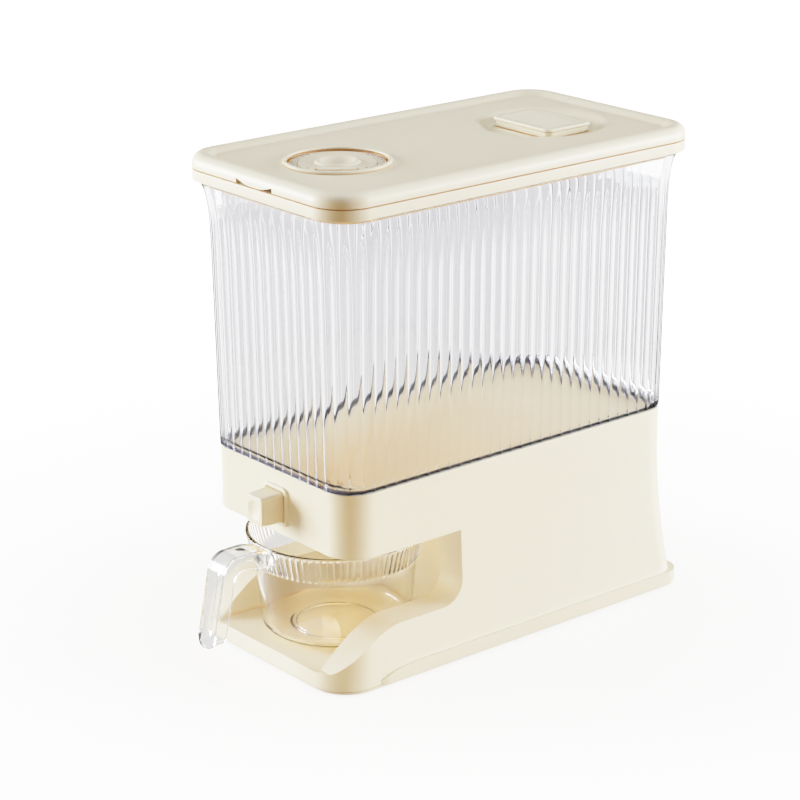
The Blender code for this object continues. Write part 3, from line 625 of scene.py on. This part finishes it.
def walk(out, shares):
    """Points and outward normals round the container, at shares of the way from the front's middle."""
    radius = CONTAINER_RADIUS + out
    straight_x = CONTAINER_HALF_X - CONTAINER_RADIUS
    straight_y = CONTAINER_HALF_Y - CONTAINER_RADIUS
    quarter = math.pi / 2 * CONTAINER_RADIUS
    half_round = [quarter, 2 * straight_y, quarter]
    runs = [straight_x, *half_round, 2 * straight_x, *half_round, straight_x]
    total = sum(runs)
    corners = [(1, -1), (1, 1), (-1, 1), (-1, -1)]
    walls = [(0, -1), (1, 0), (0, 1), (-1, 0), (0, -1)]
    starts = [(0.0, -1), (1, -1), (1, 1), (-1, 1), (-1, -1)]
    found = []
    for share in shares:
        s = share * total
        k = 0
        while k < 8 and s > runs[k]:
            s -= runs[k]
            k += 1
        if k % 2:
            cx, cy = corners[k // 2]
            angle = math.radians(-90 + 90 * (k // 2)) + s / CONTAINER_RADIUS
            nx, ny = math.cos(angle), math.sin(angle)
            px, py = cx * straight_x, cy * straight_y
        else:
            nx, ny = walls[k // 2]
            sx, sy = starts[k // 2]
            along = (-ny, nx)
            px = sx * straight_x + along[0] * s
            py = sy * straight_y + along[1] * s
        found.append((px + nx * radius, py + ny * radius, nx, ny))
    return found


def smooth_step(low, high, value):
    t = min(1.0, max(0.0, (value - low) / (high - low)))
    return t * t * (3 - 2 * t)


def make_container(clear):
    """The fluted wall: a hollow flute between rounded ridges, many times round, and a foot that steps in."""
    half = [0.26, 0.48, 0.64, 0.77, 0.86, 0.91, 0.955]
    offsets = [-1.0, *[-offset for offset in reversed(half)], 0.0, *half]
    ridge = 0.88
    shares, dips = [], []
    for k in range(FLUTES):
        for offset in offsets:
            shares.append((k + 0.5 + offset / 2) / FLUTES)
            reach = min(abs(offset), ridge)
            over = abs(offset) - reach
            crest = 4 * ridge**3 * (over - over**2 / (2 * (1 - ridge)))
            dips.append(1.0 - reach**4 - crest)
    heights = [CONTAINER_BOTTOM, 151.5, 152.0] + [155.0 + 9.0 * k for k in range(17)]
    heights += [303.0 + 3.0 * k for k in range(15)] + [347.5, 350.0, 352.0, 354.0, 354.7, CONTAINER_TOP]
    rings = []
    for z in heights:
        depth = FLUTE_DEPTH * (1.0 - smooth_step(*FLUTE_FADE, z))
        rim = 0.35 if z in (CONTAINER_BOTTOM, CONTAINER_TOP) else 0.08 if z in (151.5, 354.7) else 0.0
        out = container_spread(z) - rim
        rings.append([(x - nx * depth * dip, y - ny * depth * dip, z)
                      for (x, y, nx, ny), dip in zip(walk(out, shares), dips)])
    down = [CONTAINER_TOP, 354.0, 352.0, 350.0, 347.0, 343.0, 338.0, 332.0, 325.0, 315.0, 300.0, 225.0, 158.0]
    inner = [(z, container_spread(z) - CONTAINER_WALL) for z in down]
    inner += [(154.5, -4.4), (148.0, -4.4), (148.0, -2.1), (CONTAINER_BOTTOM - 0.02, -2.1)]
    foot_share = 1.0 - 3.4 / (CONTAINER_HALF_Y - CONTAINER_RADIUS)
    for z, out in inner:
        shrink = foot_share if z <= 154.5 else 1.0
        rings.append([(x, y * shrink, z) for x, y, nx, ny in walk(out, shares)])
    ob = from_rings("container_wall", rings, True)
    show(ob, "container", clear, ["container"], 55.0)


# ---------------------------------------------------------------- cup


def handle_side(inset, steps=20):
    """The handle's outer line in Y and Z: over the bend and down the leaning grip."""
    grip_top = (-218.0, 84.5)
    slope = (HANDLE_REACH + grip_top[0]) / (grip_top[1] - 29.0)
    lean = math.atan(slope)
    shift = inset / math.cos(lean)
    corner_y = grip_top[0] + slope * (HANDLE_TOP - grip_top[1])
    centre_y = corner_y + HANDLE_BEND * math.tan((math.pi / 2 - lean) / 2)
    points = arc(centre_y, HANDLE_TOP - HANDLE_BEND, HANDLE_BEND - inset, 90, 180 - math.degrees(lean), steps)
    points.append((-HANDLE_REACH + shift, 29.0))
    points.append((-HANDLE_REACH + shift + slope * 4, HANDLE_TIP_Z - 5))
    return points


def make_bowl(clear):
    """The cup's bowl, with upright ribs round the band under its rim."""
    shares = [0.0, 0.1, 0.2, 0.3, 0.4, 0.5, 0.62, 0.74, 0.86]
    steps = CUP_RIBS * len(shares)
    outer = [(0.0, 15.6), (15.0, 15.6), (30.0, 15.6), (31.0, 15.1), (31.4, 13.9), (32.0, 13.8)]
    outer += [(33.4, 13.8), (34.1, 14.0), (34.9, 15.1), (36.0, 15.3), (44.0, 15.4), (50.0, 15.6)]
    outer += [(53.0, 16.4), (55.2, 17.8), (56.5, 19.6), (57.2, 22.0), (59.2, 46.0), (60.9, 66.0)]
    outer += [(61.4, 69.0), (61.7, 70.5), (62.0, 71.3), (62.3, 72.2), (62.8, 73.8), (64.6, 81.0)]
    outer += [(66.2, 88.0), (66.6, 89.9), (67.3, 90.6), (67.7, 91.3), (67.7, 92.0), (67.3, 92.6)]
    outer += [(66.6, 92.7), (65.6, 92.6), (65.0, 92.0)]
    inner = [(64.4, 89.0), (63.4, 85.0), (61.4, 77.0), (60.2, 72.6), (59.3, 71.0), (57.2, 46.0), (55.3, 23.0)]
    inner += [(54.7, 21.0), (53.4, 19.3), (51.4, 18.2), (49.0, 17.8), (30.0, 17.8), (15.0, 17.8), (0.0, 17.8)]
    verts, rings = [], []
    for index, (radius, z) in enumerate(outer + inner):
        if not radius:
            rings.append([len(verts)])
            verts.append((0.0, CUP_Y, z))
            continue
        rings.append(list(range(len(verts), len(verts) + steps)))
        ribbed = smooth_step(70.4, 73.0, z) if index < len(outer) and z < 90.5 else 0.0
        for k in range(steps):
            share = shares[k % len(shares)]
            angle = 2 * math.pi * (k // len(shares) + share) / CUP_RIBS
            lift = CUP_RIB_LIFT * ribbed * math.sin(math.pi * share / 0.5) if share < 0.5 else 0.0
            reach = radius + lift
            verts.append((reach * math.cos(angle), CUP_Y + reach * math.sin(angle), z))
    bowl = from_faces("cup_bowl", verts, between(rings, steps))
    show(bowl, "cup", clear, ["measuring_cup"], 60.0)


def make_handle(hazy):
    """The channel-shaped handle, open towards the bowl, with a thumb rest on top."""
    outer = [(-172.0, 92.9), (-177.0, 93.2), (-181.0, 94.1), (-185.0, 95.3), (-189.0, HANDLE_TOP)]
    outer += handle_side(0.0)
    inner = [(-217.0, HANDLE_TIP_Z - 5), (-218.2, 29.0)]
    inner += arc(-199.4, 75.0, 9.0, 168.5, 90, 10) + [(-194.0, 84.0), (-172.0, 79.7)]
    handle = extruded("cup_handle", outer + inner, "x", -HANDLE_HALF_X, HANDLE_HALF_X)
    channel = [(-176.0, 90.7), (-181.0, 91.7), (-189.0, HANDLE_TOP - HANDLE_WALL)]
    channel += handle_side(HANDLE_WALL)
    channel += [(-190.0, 10.0), (-176.0, 10.0)]
    cut(handle, extruded("channel", channel, "x", 2.2 - HANDLE_HALF_X, HANDLE_HALF_X - 2.2))
    tongue = arc(0.0, HANDLE_TIP_Z + HANDLE_HALF_X, HANDLE_HALF_X + 0.2, 180, 360, 32)
    tongue += [(HANDLE_HALF_X + 0.2, 120.0), (-HANDLE_HALF_X - 0.2, 120.0)]
    combine(handle, "INTERSECT", extruded("tongue", tongue, "y", -240.0, -150.0))
    cut(handle, ball("thumb", 14.0, (0.0, -195.7, HANDLE_TOP + 13.3), 48, 32))
    room = [(0.0, 60.0), (63.0, 60.0), (66.9, 89.0), (66.9, 100.0), (0.0, 100.0)]
    cut(handle, turned("outside", room, (0.0, CUP_Y)))
    edge_round(handle, 0.7, 3, 35.0)
    show(handle, "cup", hazy, angle=50.0)


# ---------------------------------------------------------------- lid


def lid_outline(inset, steps=24):
    return centred(LID_HALF_X - inset, LID_HALF_Y - inset, max(1.0, LID_RADIUS - inset), steps=steps)


def wall_outline(out, steps=24):
    return centred(CONTAINER_HALF_X + out, CONTAINER_HALF_Y + out, CONTAINER_RADIUS + out, steps=steps)


def hinge_bores():
    """The pins' bores, each through a knuckle and the lugs beside it."""
    bores = []
    for side in (-1, 1):
        x = side * HINGE_X
        bores.append(rod("bore", (HINGE_Y, HINGE_Z), HINGE_BORE, "x", x - 12, x + 12))
    return bores


def make_lid_frame(cream):
    skirt = [(4.0, 358.5), (4.0, FRAME_BOTTOM), (0.9, FRAME_BOTTOM), (0.3, 355.6), (0.0, 356.2), (0.0, 363.0)]
    skirt += [(0.15, 363.5), (0.6, 363.75), (1.6, 363.8), (2.0, SEAM)]
    spigot = [(-2.6, SEAM), (-2.6, SPIGOT_BOTTOM + 0.8), (-1.4, SPIGOT_BOTTOM), (0.4, SPIGOT_BOTTOM)]
    spigot.append((0.4, 358.5))
    rings = [(lid_outline(inset), z) for inset, z in skirt]
    rings += [(wall_outline(out), z) for out, z in spigot]
    ring = loft("lid_rim", rings, "z", True)
    barrels = []
    for side in (-1, 1):
        for lug in (-8.2, 8.2):
            x = (side * HINGE_X + lug - 2.2, side * HINGE_X + lug + 2.2)
            barrels.append(box("stem", x, (HINGE_Y - 3.0, HINGE_Y + 3.0), (360.0, HINGE_Z)))
            barrels.append(rod("lug", (HINGE_Y, HINGE_Z), KNUCKLE_RADIUS, "x", x[0] - 0.05, x[1] + 0.05))
    add(ring, *barrels)
    cut(ring, *hinge_bores())
    show(ring, "lid", cream, ["lid_frame"])


def cover_shell():
    """The cover's rounded edge and sunken panel, with its underside."""
    edge = [(1.6, SEAM + 0.3), (0.6, SEAM + 0.35), (0.15, SEAM + 0.55), (0.0, SEAM + 1.0)]
    edge += arc(LID_EDGE_ROUND, LID_TOP - LID_EDGE_ROUND, LID_EDGE_ROUND, 180, 90, 12)
    edge += [(8.6, 374.98), (9.8, 374.85), (11.2, 374.5), (12.6, 373.9), (14.0, 373.1), (15.4, 372.3)]
    edge += [(16.6, 371.8), (17.6, 371.56), (18.6, PANEL_TOP)]
    rings = [(lid_outline(inset), z) for inset, z in reversed(edge)]
    under = [(2.8, SEAM + 0.3), (2.8, 367.8), (4.2, 370.6), (7.5, 372.3), (11.0, 372.0), (15.5, 369.4)]
    under.append((19.0, PANEL_UNDERSIDE))
    rings += [(lid_outline(inset), z) for inset, z in under]
    return loft("lid_flip", rings)


def cover_notches():
    """What is cut from the cover's edge: the wedges beside the finger tab, and room at the hinge."""
    bow = (TAB_HALF_X**2 + TAB_BOW**2) / (2 * TAB_BOW)
    wedges = box("wedges", (-TAB_HALF_X, TAB_HALF_X), (-180.0, -168.5), (360.0, TAB_TOP))
    cut(wedges, rod("bow", (0.0, SEAM + 0.35 + bow), bow, "y", -185.0, -160.0, 360))
    tools = [wedges]
    rear_edge = box("rear_edge", (-110.0, 110.0), (HINGE_Y, 182.0), (355.0, HINGE_Z))
    cut(rear_edge, rod("rear_round", (HINGE_Y, HINGE_Z), 3.5, "x", -120.0, 120.0, 64))
    tools.append(rear_edge)
    for side in (-1, 1):
        x = side * HINGE_X
        tools.append(box("notch", (x - 11, x + 11), (HINGE_Y - 4.2, 182.0), (360.0, HINGE_Z + 4.0)))
    return tools


def make_lid_cover(cream):
    cover = cover_shell()
    cut(cover, *cover_notches())
    well_cup = [(0, 365.4), (40.6, 365.4), (41.4, 366.2), (41.4, 370.3), (0, 370.3)]
    bowl = [(0, 363.8), (40.0, 363.8), (51.5, 369.2), (51.5, 370.4), (0, 370.4)]
    add(cover, turned("well_cup", well_cup, (0.0, DIAL_Y)), turned("bowl", bowl, (0.0, DISH_Y)))
    well = turned("well", [(0, 367.2), (38.3, 367.2), (38.3, 380), (0, 380)], (0.0, DIAL_Y))
    dish = [(0, 366.3), (38.5, 366.3), (39.6, 366.38), (40.8, 366.65), (42.2, 367.2), (44.0, 368.15)]
    dish += [(46.0, 369.35), (47.6, 370.2), (49.0, 370.85), (50.2, 371.25), (51.4, 371.46), (52.6, 371.56)]
    dish += [(52.6, 380), (0, 380)]
    box_way = extruded("box_way", centred(29.5, 19.75, 4.0, DISH_Y), "z", 360.0, PANEL_UNDERSIDE)
    knob_bore = rod("bore", (0.0, DIAL_Y), 4.3, "z", 360.0, 370.0)
    cut(cover, well, turned("dish", dish, (0.0, DISH_Y)), knob_bore, box_way)
    knuckles = []
    for side in (-1, 1):
        reach = (side * HINGE_X - 5.5, side * HINGE_X + 5.5)
        knuckles.append(rod("knuckle", (HINGE_Y, HINGE_Z), KNUCKLE_RADIUS, "x", *reach))
        knuckles.append(box("neck", reach, (HINGE_Y - 2.8, HINGE_Y + 2.6), (HINGE_Z, HINGE_Z + 4.8)))
    add(cover, *knuckles)
    cut(cover, *hinge_bores())
    show(cover, "cover", cream, ["lid_cover"], 30.0)


def make_date_ring(cream, ink):
    """The fixed rim, and the turning ring with two runs of marks."""
    bezel = [(38.4, 371.8), (39.4, 371.8), (39.6, 372.1), (39.6, 372.8), (39.4, 373.5), (38.9, 374.0)]
    bezel += [(38.2, 374.15), (37.5, 374.05), (37.0, 373.7), (36.8, 373.3), (36.8, 372.7), (37.3, 372.2)]
    show(turned("dial_rim", bezel, (0.0, DIAL_Y)), "cover", cream, ["dial_bezel"])
    ring = [(29.2, 367.5), (37.9, 367.5), (37.9, 368.2), (37.6, 368.4), (35.6, 368.5), (35.3, 368.8)]
    ring += [(35.3, 370.8), (35.1, 371.1), (34.7, 371.3), (29.9, 371.3), (29.5, 371.2), (29.2, 370.9)]
    show(turned("dial_ring", ring, (0.0, DIAL_Y)), "date_ring", cream, ["date_ring"])
    for side in (0, 180):
        for k in range(-MARKS_EACH_WAY, MARKS_EACH_WAY + 1):
            angle = math.radians(SLOT_TURN + side + MARK_STEP * k)
            name = f"ring_mark_{side}_{k + MARKS_EACH_WAY}"
            tick(name, angle, 32.4 if k % 2 else 31.2, 34.6, ink)
            tick(name + "_dot", angle, 30.3, 30.9 if k % 2 else 30.5, ink)


def make_knob(cream, slot_shade):
    """The knob with its thumb ring, pointer slot and three small marks, whose dark brown is a painted shade
    of the slot.
    """
    knob = [(0, 362.7), (4.0, 362.7), (4.0, 367.5), (28.8, 367.5), (28.8, 371.0), (28.65, 371.25)]
    knob += [(28.2, 371.4), (17.4, 371.45), (16.6, 371.6), (16.0, 372.2), (15.5, 372.9), (14.8, 373.2)]
    knob += [(14.0, 373.2), (13.2, 373.0), (12.2, 372.1), (10.8, 371.0), (9.0, 370.1), (6.0, 369.6)]
    knob.append((0, 369.5))
    disc = turned("dial_disc", knob, (0.0, DIAL_Y))
    slots = [[(-15.2, -25.0), (15.2, -25.0), (15.2, -22.4), (-15.2, -22.4)]]
    for side in (-1, 1):
        slots.append([(side * x, y) for x, y in ((13.2, -22.6), (15.2, -22.6), (16.6, -18.8), (14.0, -18.8))])
        slots.append([(side * x, y) for x, y in ((20.0, -18.2), (22.2, -17.4), (21.6, -15.2), (19.6, -16.0))])
    tools = []
    for corners in slots:
        tools.append(extruded("slot", [about_dial(*corner) for corner in corners], "z", 368.4, 380.0))
    cut(disc, *tools)
    show(disc, "knob", cream, ["dial_knob"], 30.0)
    # The three marks are real, and their dark brown is a painted shade of the pointer slot beside them.
    for k in (-1, 0, 1):
        left, right = 2.2 * k - 0.6, 2.2 * k + 0.6
        square = [(left, -27.6), (right, -27.6), (right, -26.0), (left, -26.0)]
        mark = extruded(f"slot_mark_{k + 1}", [about_dial(x, y) for x, y in square], "z", 371.3, 371.52)
        show(mark, "knob", slot_shade)


def about_dial(along, out):
    """A point of the knob's face, in X and Y, with the face turned so far that its slot stands as at rest."""
    turn = math.radians(SLOT_TURN)
    x = along * math.cos(turn) - out * math.sin(turn)
    y = along * math.sin(turn) + out * math.cos(turn)
    return x, DIAL_Y + y


def tick(name, angle, inner, outer, ink):
    """A small raised mark across the date ring at an angle."""
    corners = []
    for reach, side in ((inner, -1), (outer, -1), (outer, 1), (inner, 1)):
        aside = side * MARK_HALF_WIDTH
        x = reach * math.cos(angle) - aside * math.sin(angle)
        y = reach * math.sin(angle) + aside * math.cos(angle)
        corners.append((x, DIAL_Y + y))
    show(extruded(name, corners, "z", MARK_LOW, MARK_TOP), "date_ring", ink)


def box_outline(inset, radius=5.5):
    return centred(BOX_HALF_X - inset, BOX_HALF_Y - inset, radius, DISH_Y, steps=12)


def make_desiccant(cream):
    """The lift-out tray with its vents, and its top with a ribbed middle."""
    ledge = 366.6
    rings = [(box_outline(3.8), 349.0), (box_outline(3.5), 349.3), (box_outline(3.5), ledge)]
    rings += [(box_outline(1.4), ledge), (box_outline(1.0), ledge + 0.4), (box_outline(1.0), 370.9)]
    rings.append((box_outline(1.3), 371.2))
    rings += [(box_outline(3.2, 3.0), 371.2), (box_outline(3.2, 3.0), 369.0), (box_outline(5.3, 2.5), 368.4)]
    rings += [(box_outline(5.3, 2.5), 351.0)]
    tray = loft("desiccant_tray", rings)
    slot = centred(1.5, 11.0, 1.4, DISH_Y, steps=4)
    vents = []
    for k in range(-2, 3):
        vents.append(extruded("vent", [(x + 9.0 * k, y) for x, y in slot], "z", 345.0, 353.0))
    cut(tray, *vents)
    show(tray, "desiccant", cream, ["desiccant_box"])
    plate = [(box_outline(3.5, 3.0), 369.4), (box_outline(3.5, 3.0), 371.6), (box_outline(0.4), 371.6)]
    plate += [(box_outline(0.0), 371.9), (box_outline(0.0), 373.2), (box_outline(0.15), 373.6)]
    plate += [(box_outline(0.6), 373.88), (box_outline(1.1), 373.9), (box_outline(5.2, 2.2), 373.9)]
    plate += [(box_outline(5.7, 1.8), 373.3)]
    top = loft("desiccant_top", plate)
    show(top, "desiccant", cream, ["desiccant_lid"])
    reach = BOX_HALF_Y - 6.0
    for k in range(GRIP_RIBS):
        x = GRIP_HALF_X * (2 * k / (GRIP_RIBS - 1) - 1)
        profile = [(x - 0.75, 373.2), (x - 0.45, 373.62), (x, 373.78), (x + 0.45, 373.62), (x + 0.75, 373.2)]
        rib = extruded(f"grip_rib_{k}", profile, "y", DISH_Y - reach, DISH_Y + reach)
        show(rib, "desiccant", cream)


# ---------------------------------------------------------------- stage, lights and camera


def by_sight(tree, seen, through, mirrored, other, kind="FLOAT"):
    """One value for the eye, one through clear plastic, one in reflections and one for other light."""
    path = tree.nodes.new("ShaderNodeLightPath")
    last = other
    for ray, value in (("Glossy", mirrored), ("Transmission", through), ("Camera", seen)):
        last = mixed(tree, kind, path.outputs[f"Is {ray} Ray"], last, value)
    return last


def make_stage():
    """A pale floor that warms what stands on it and, for the eye, runs into white with distance."""
    pale = Nodes("floor")
    grain = pale.ramp(pale.noise(2.0), (0.3, (0.60, 0.60, 0.60)), (0.7, (0.63, 0.63, 0.63)))
    dark = (0.1, 0.09, 0.08, 1.0)
    pale.set("Base Color", by_sight(pale.tree, grain, grain, dark, (*FLOOR_BOUNCE, 1.0), "RGBA"))
    pale.set("Roughness", 0.7)
    pale.set("Emission Color", (1.0, 1.0, 1.0, 1.0))
    distance = pale.add("ShaderNodeVectorMath", {0: pale.place}, operation="LENGTH").outputs["Value"]
    growth = {"Value": distance, "From Min": GLOW_NEAR, "From Max": GLOW_FAR, "To Min": GLOW_LEAST}
    far = pale.add("ShaderNodeMapRange", growth).outputs["Result"]
    for_the_eye = by_sight(pale.tree, 1.0, 0.0, 0.0, 0.0)
    pale.set("Emission Strength", pale.arithmetic("MULTIPLY", far, for_the_eye))
    mesh = bpy.data.meshes.new("floor")
    corners = [(FLOOR_REACH * x, FLOOR_REACH * y, 0) for x, y in ((-1, -1), (1, -1), (1, 1), (-1, 1))]
    mesh.from_pydata(corners, [], [(0, 1, 2, 3)])
    floor = bpy.data.objects.new("floor", mesh)
    mesh.materials.append(pale.mat)
    bpy.context.scene.collection.objects.link(floor)
    floor.visible_transmission = False


def softbox(name, azimuth, elevation, distance, size, power, colour, aim=MIDDLE):
    """A rectangular light that faces aim, from an azimuth that counts as the camera's does."""
    data = bpy.data.lights.new(name, "AREA")
    data.shape = "RECTANGLE"
    data.size, data.size_y = size
    data.energy = power
    data.color = colour
    back = direction(azimuth, elevation)
    light = bpy.data.objects.new(name, data)
    light.location = Vector(aim) + back * distance
    light.rotation_mode = "QUATERNION"
    light.rotation_quaternion = (-back).to_track_quat("-Z", "Y")
    bpy.context.scene.collection.objects.link(light)
    return light


def make_world():
    """White for the eye, bright behind and dark beside for clear plastic, and a dim warm fill otherwise."""
    world = bpy.data.worlds.new("studio")
    bpy.context.scene.world = world
    world.use_nodes = True
    tree = world.node_tree
    way = tree.nodes.new("ShaderNodeTexCoord").outputs["Generated"]
    levels = []
    for direction, stops in ((BESIDE, BESIDE_STOPS), (BEHIND, BEHIND_STOPS)):
        dot = tree.nodes.new("ShaderNodeVectorMath")
        dot.operation = "DOT_PRODUCT"
        tree.links.new(way, dot.inputs[0])
        dot.inputs[1].default_value = direction
        size = tree.nodes.new("ShaderNodeMath")
        size.operation = "ABSOLUTE"
        tree.links.new(dot.outputs["Value"], size.inputs[0])
        ramp = tree.nodes.new("ShaderNodeValToRGB")
        tree.links.new(size.outputs["Value"], ramp.inputs["Fac"])
        fill_ramp(ramp, stops)
        levels.append(ramp.outputs["Color"])
    backdrop = mixed(tree, "RGBA", 1.0, *levels, "MULTIPLY")
    dim = (*[0.5 * value for value in FILL], 1.0)
    light = by_sight(tree, (1.0, 1.0, 1.0, 1.0), backdrop, dim, (*FILL, 1.0), "RGBA")
    tree.links.new(light, tree.nodes["Background"].inputs["Color"])


def make_lights():
    """Low softboxes at the left and the right rear, one above, a warm card low in front and a bay glow."""
    softbox("left", -52, 9, 2.4, (1.25, 1.25), 36.5, (0.93, 0.985, 1.0))
    softbox("right", 142, 9, 2.4, (1.15, 1.15), 30.0, (0.91, 0.965, 1.0))
    softbox("top", 50, 86, 1.6, (1.0, 1.0), 4.0, (0.90, 0.97, 1.0))
    card = softbox("card", 50, 4, 0.27, (0.30, 0.10), 0.085, (1.0, 0.87, 0.67), NEAR_CORNER)
    card.visible_transmission = card.visible_glossy = card.visible_camera = False
    bay = (0.0, (OUTLET_Y + BODY_Y) * MM, 0.02)
    softbox("bay_glow", 0, 90, 0.078, (0.09, 0.10), 0.034, (1.0, 0.55, 0.09), bay)


def make_film():
    """A soft shoulder, so that the lit plastic nears white and its shadows stay warm."""
    view = bpy.context.scene.view_settings
    view.view_transform = "Standard"
    view.look = "None"
    view.use_curve_mapping = True
    curves = view.curve_mapping
    curve = curves.curves[3]
    steps = 12
    for k in range(1, steps):
        level = (k / steps) ** 2
        curve.points.new(level, 1.0 - math.exp(-SHOULDER * level))
    curves.update()


def direction(azimuth, elevation):
    """From the middle outwards. Azimuth 0 is in front and 90 is at the right."""
    a, e = math.radians(azimuth), math.radians(elevation)
    return Vector((math.sin(a) * math.cos(e), -math.cos(a) * math.cos(e), math.sin(e)))


def make_camera():
    back = direction(CAMERA_AZIMUTH, CAMERA_PITCH)
    azimuth, roll = math.radians(CAMERA_AZIMUTH), math.radians(CAMERA_ROLL)
    right = Vector((math.cos(azimuth), math.sin(azimuth), 0.0))
    up = back.cross(right)
    turned_right = right * math.cos(roll) + up * math.sin(roll)
    turned_up = up * math.cos(roll) - right * math.sin(roll)
    data = bpy.data.cameras.new("camera")
    data.sensor_width = 36.0
    data.lens = 115.6
    data.shift_x, data.shift_y = 0.0032, 0.0019
    data.clip_end = 50.0
    camera = bpy.data.objects.new("camera", data)
    axes = Matrix((turned_right, turned_up, back)).transposed().to_4x4()
    camera.matrix_world = Matrix.Translation(CAMERA_PLACE) @ axes
    bpy.context.scene.collection.objects.link(camera)
    bpy.context.scene.camera = camera


# ---------------------------------------------------------------- the whole object

CREAM_TONES = (0.87, 0.835, 0.68), (0.855, 0.815, 0.655)
# The orange-brown below is a painted shade that the cream, shell and silicone materials take on in their
# gaps.
CREVICE_SHADE = (0.92, 0.54, 0.18)
CREAM = moulded("cream_plastic", *CREAM_TONES, soft=0.1, crevice_shade=CREVICE_SHADE)
SHELL = moulded("shell_cream", *CREAM_TONES, soft=0.1, crevice_shade=CREVICE_SHADE, own=True)
# Painted shade: the button's cream turns orange-brown over its sides, darkest near the base, by a wide
# occlusion reach.
BUTTON = moulded("button_cream", *CREAM_TONES, soft=0.1, crevice_shade=(0.86, 0.50, 0.17), reach=0.06)
HOPPER = hopper_plastic("hopper_cream")
INK = moulded("dial_ink", (0.22, 0.22, 0.24), (0.18, 0.18, 0.20))
# Dark brown, a painted shade of the knob's pointer slot.
SLOT_SHADE = moulded("dial_slot_shade", (0.16, 0.09, 0.04), (0.12, 0.07, 0.03))
WHITE = moulded("white_plastic", (0.85, 0.85, 0.83), (0.80, 0.80, 0.78))
RUBBER = moulded("rubber", (0.45, 0.44, 0.42), (0.38, 0.37, 0.36), (0.7, 0.9), 0.00008)
STEEL = brushed_metal("steel", (0.62, 0.62, 0.64), 0.25)
SACHET = fibrous("sachet", (0.90, 0.90, 0.88))
SILICONE = moulded("silicone", (0.86, 0.86, 0.87), (0.80, 0.80, 0.82), (0.45, 0.6),
                   crevice_shade=CREVICE_SHADE, reach=0.01)
# Painted shade: a dark navy band round the container's foot edge.
NAVY_EDGE_SHADE = (0.02, 0.02, 0.045)
WALL = clear_plastic("container_clear", (0.968, 0.966, 0.982), NAVY_EDGE_SHADE,
                     [(0.1480, 0.5), (0.1500, 1.0), (0.1527, 1.0), (0.1535, 0.0), (0.1600, 0.0)])
# Painted shade: a brown band at the cup's foot and at its rim.
CUP = clear_plastic("cup_clear", (0.992, 0.982, 0.962), (0.25, 0.18, 0.10),
                    [(0.0130, 0.25), (0.0150, 0.0), (0.0922, 0.0), (0.0928, 0.5)])
GRIP = clear_plastic("grip_clear", (0.995, 0.988, 0.972), (0.9, 0.9, 0.88), [(0.0, 0.0), (0.1, 0.0)], 0.14)

NODE_LOOKS = [
    (RUBBER, "rubber", ("foot",)),
    (STEEL, "steel", ("base_screw", "guide_screw", "button_screw", "gate_spring", "hinge_pin")),
    (WHITE, "white_plastic", ("dial_clip",)),
    (SACHET, "sachet", ("desiccant_pack",)),
    (SILICONE, "silicone", ("container_seal", "lid_seal", "cover_seal")),
]


def dress_nodes():
    """Gives each CAD node a material with detail: cream plastic unless its name says otherwise."""
    for name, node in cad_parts.items():
        look, slot = CREAM, "cream_plastic"
        for material, finish, starts in NODE_LOOKS:
            if name.startswith(starts):
                look, slot = material, finish
        node.data.materials.clear()
        node.data.materials.append(look)


dress_nodes()
make_base(SHELL)
make_plinth(SHELL)
make_collar(SHELL)
make_plate(SHELL)
make_hopper(HOPPER)
make_button(BUTTON)
make_springs(STEEL)
make_container(WALL)
make_bowl(CUP)
make_handle(GRIP)
make_lid_frame(CREAM)
make_lid_cover(CREAM)
make_date_ring(CREAM, INK)
make_knob(CREAM, SLOT_SHADE)
make_desiccant(CREAM)
make_stage()
make_world()
make_lights()
make_film()
make_camera()
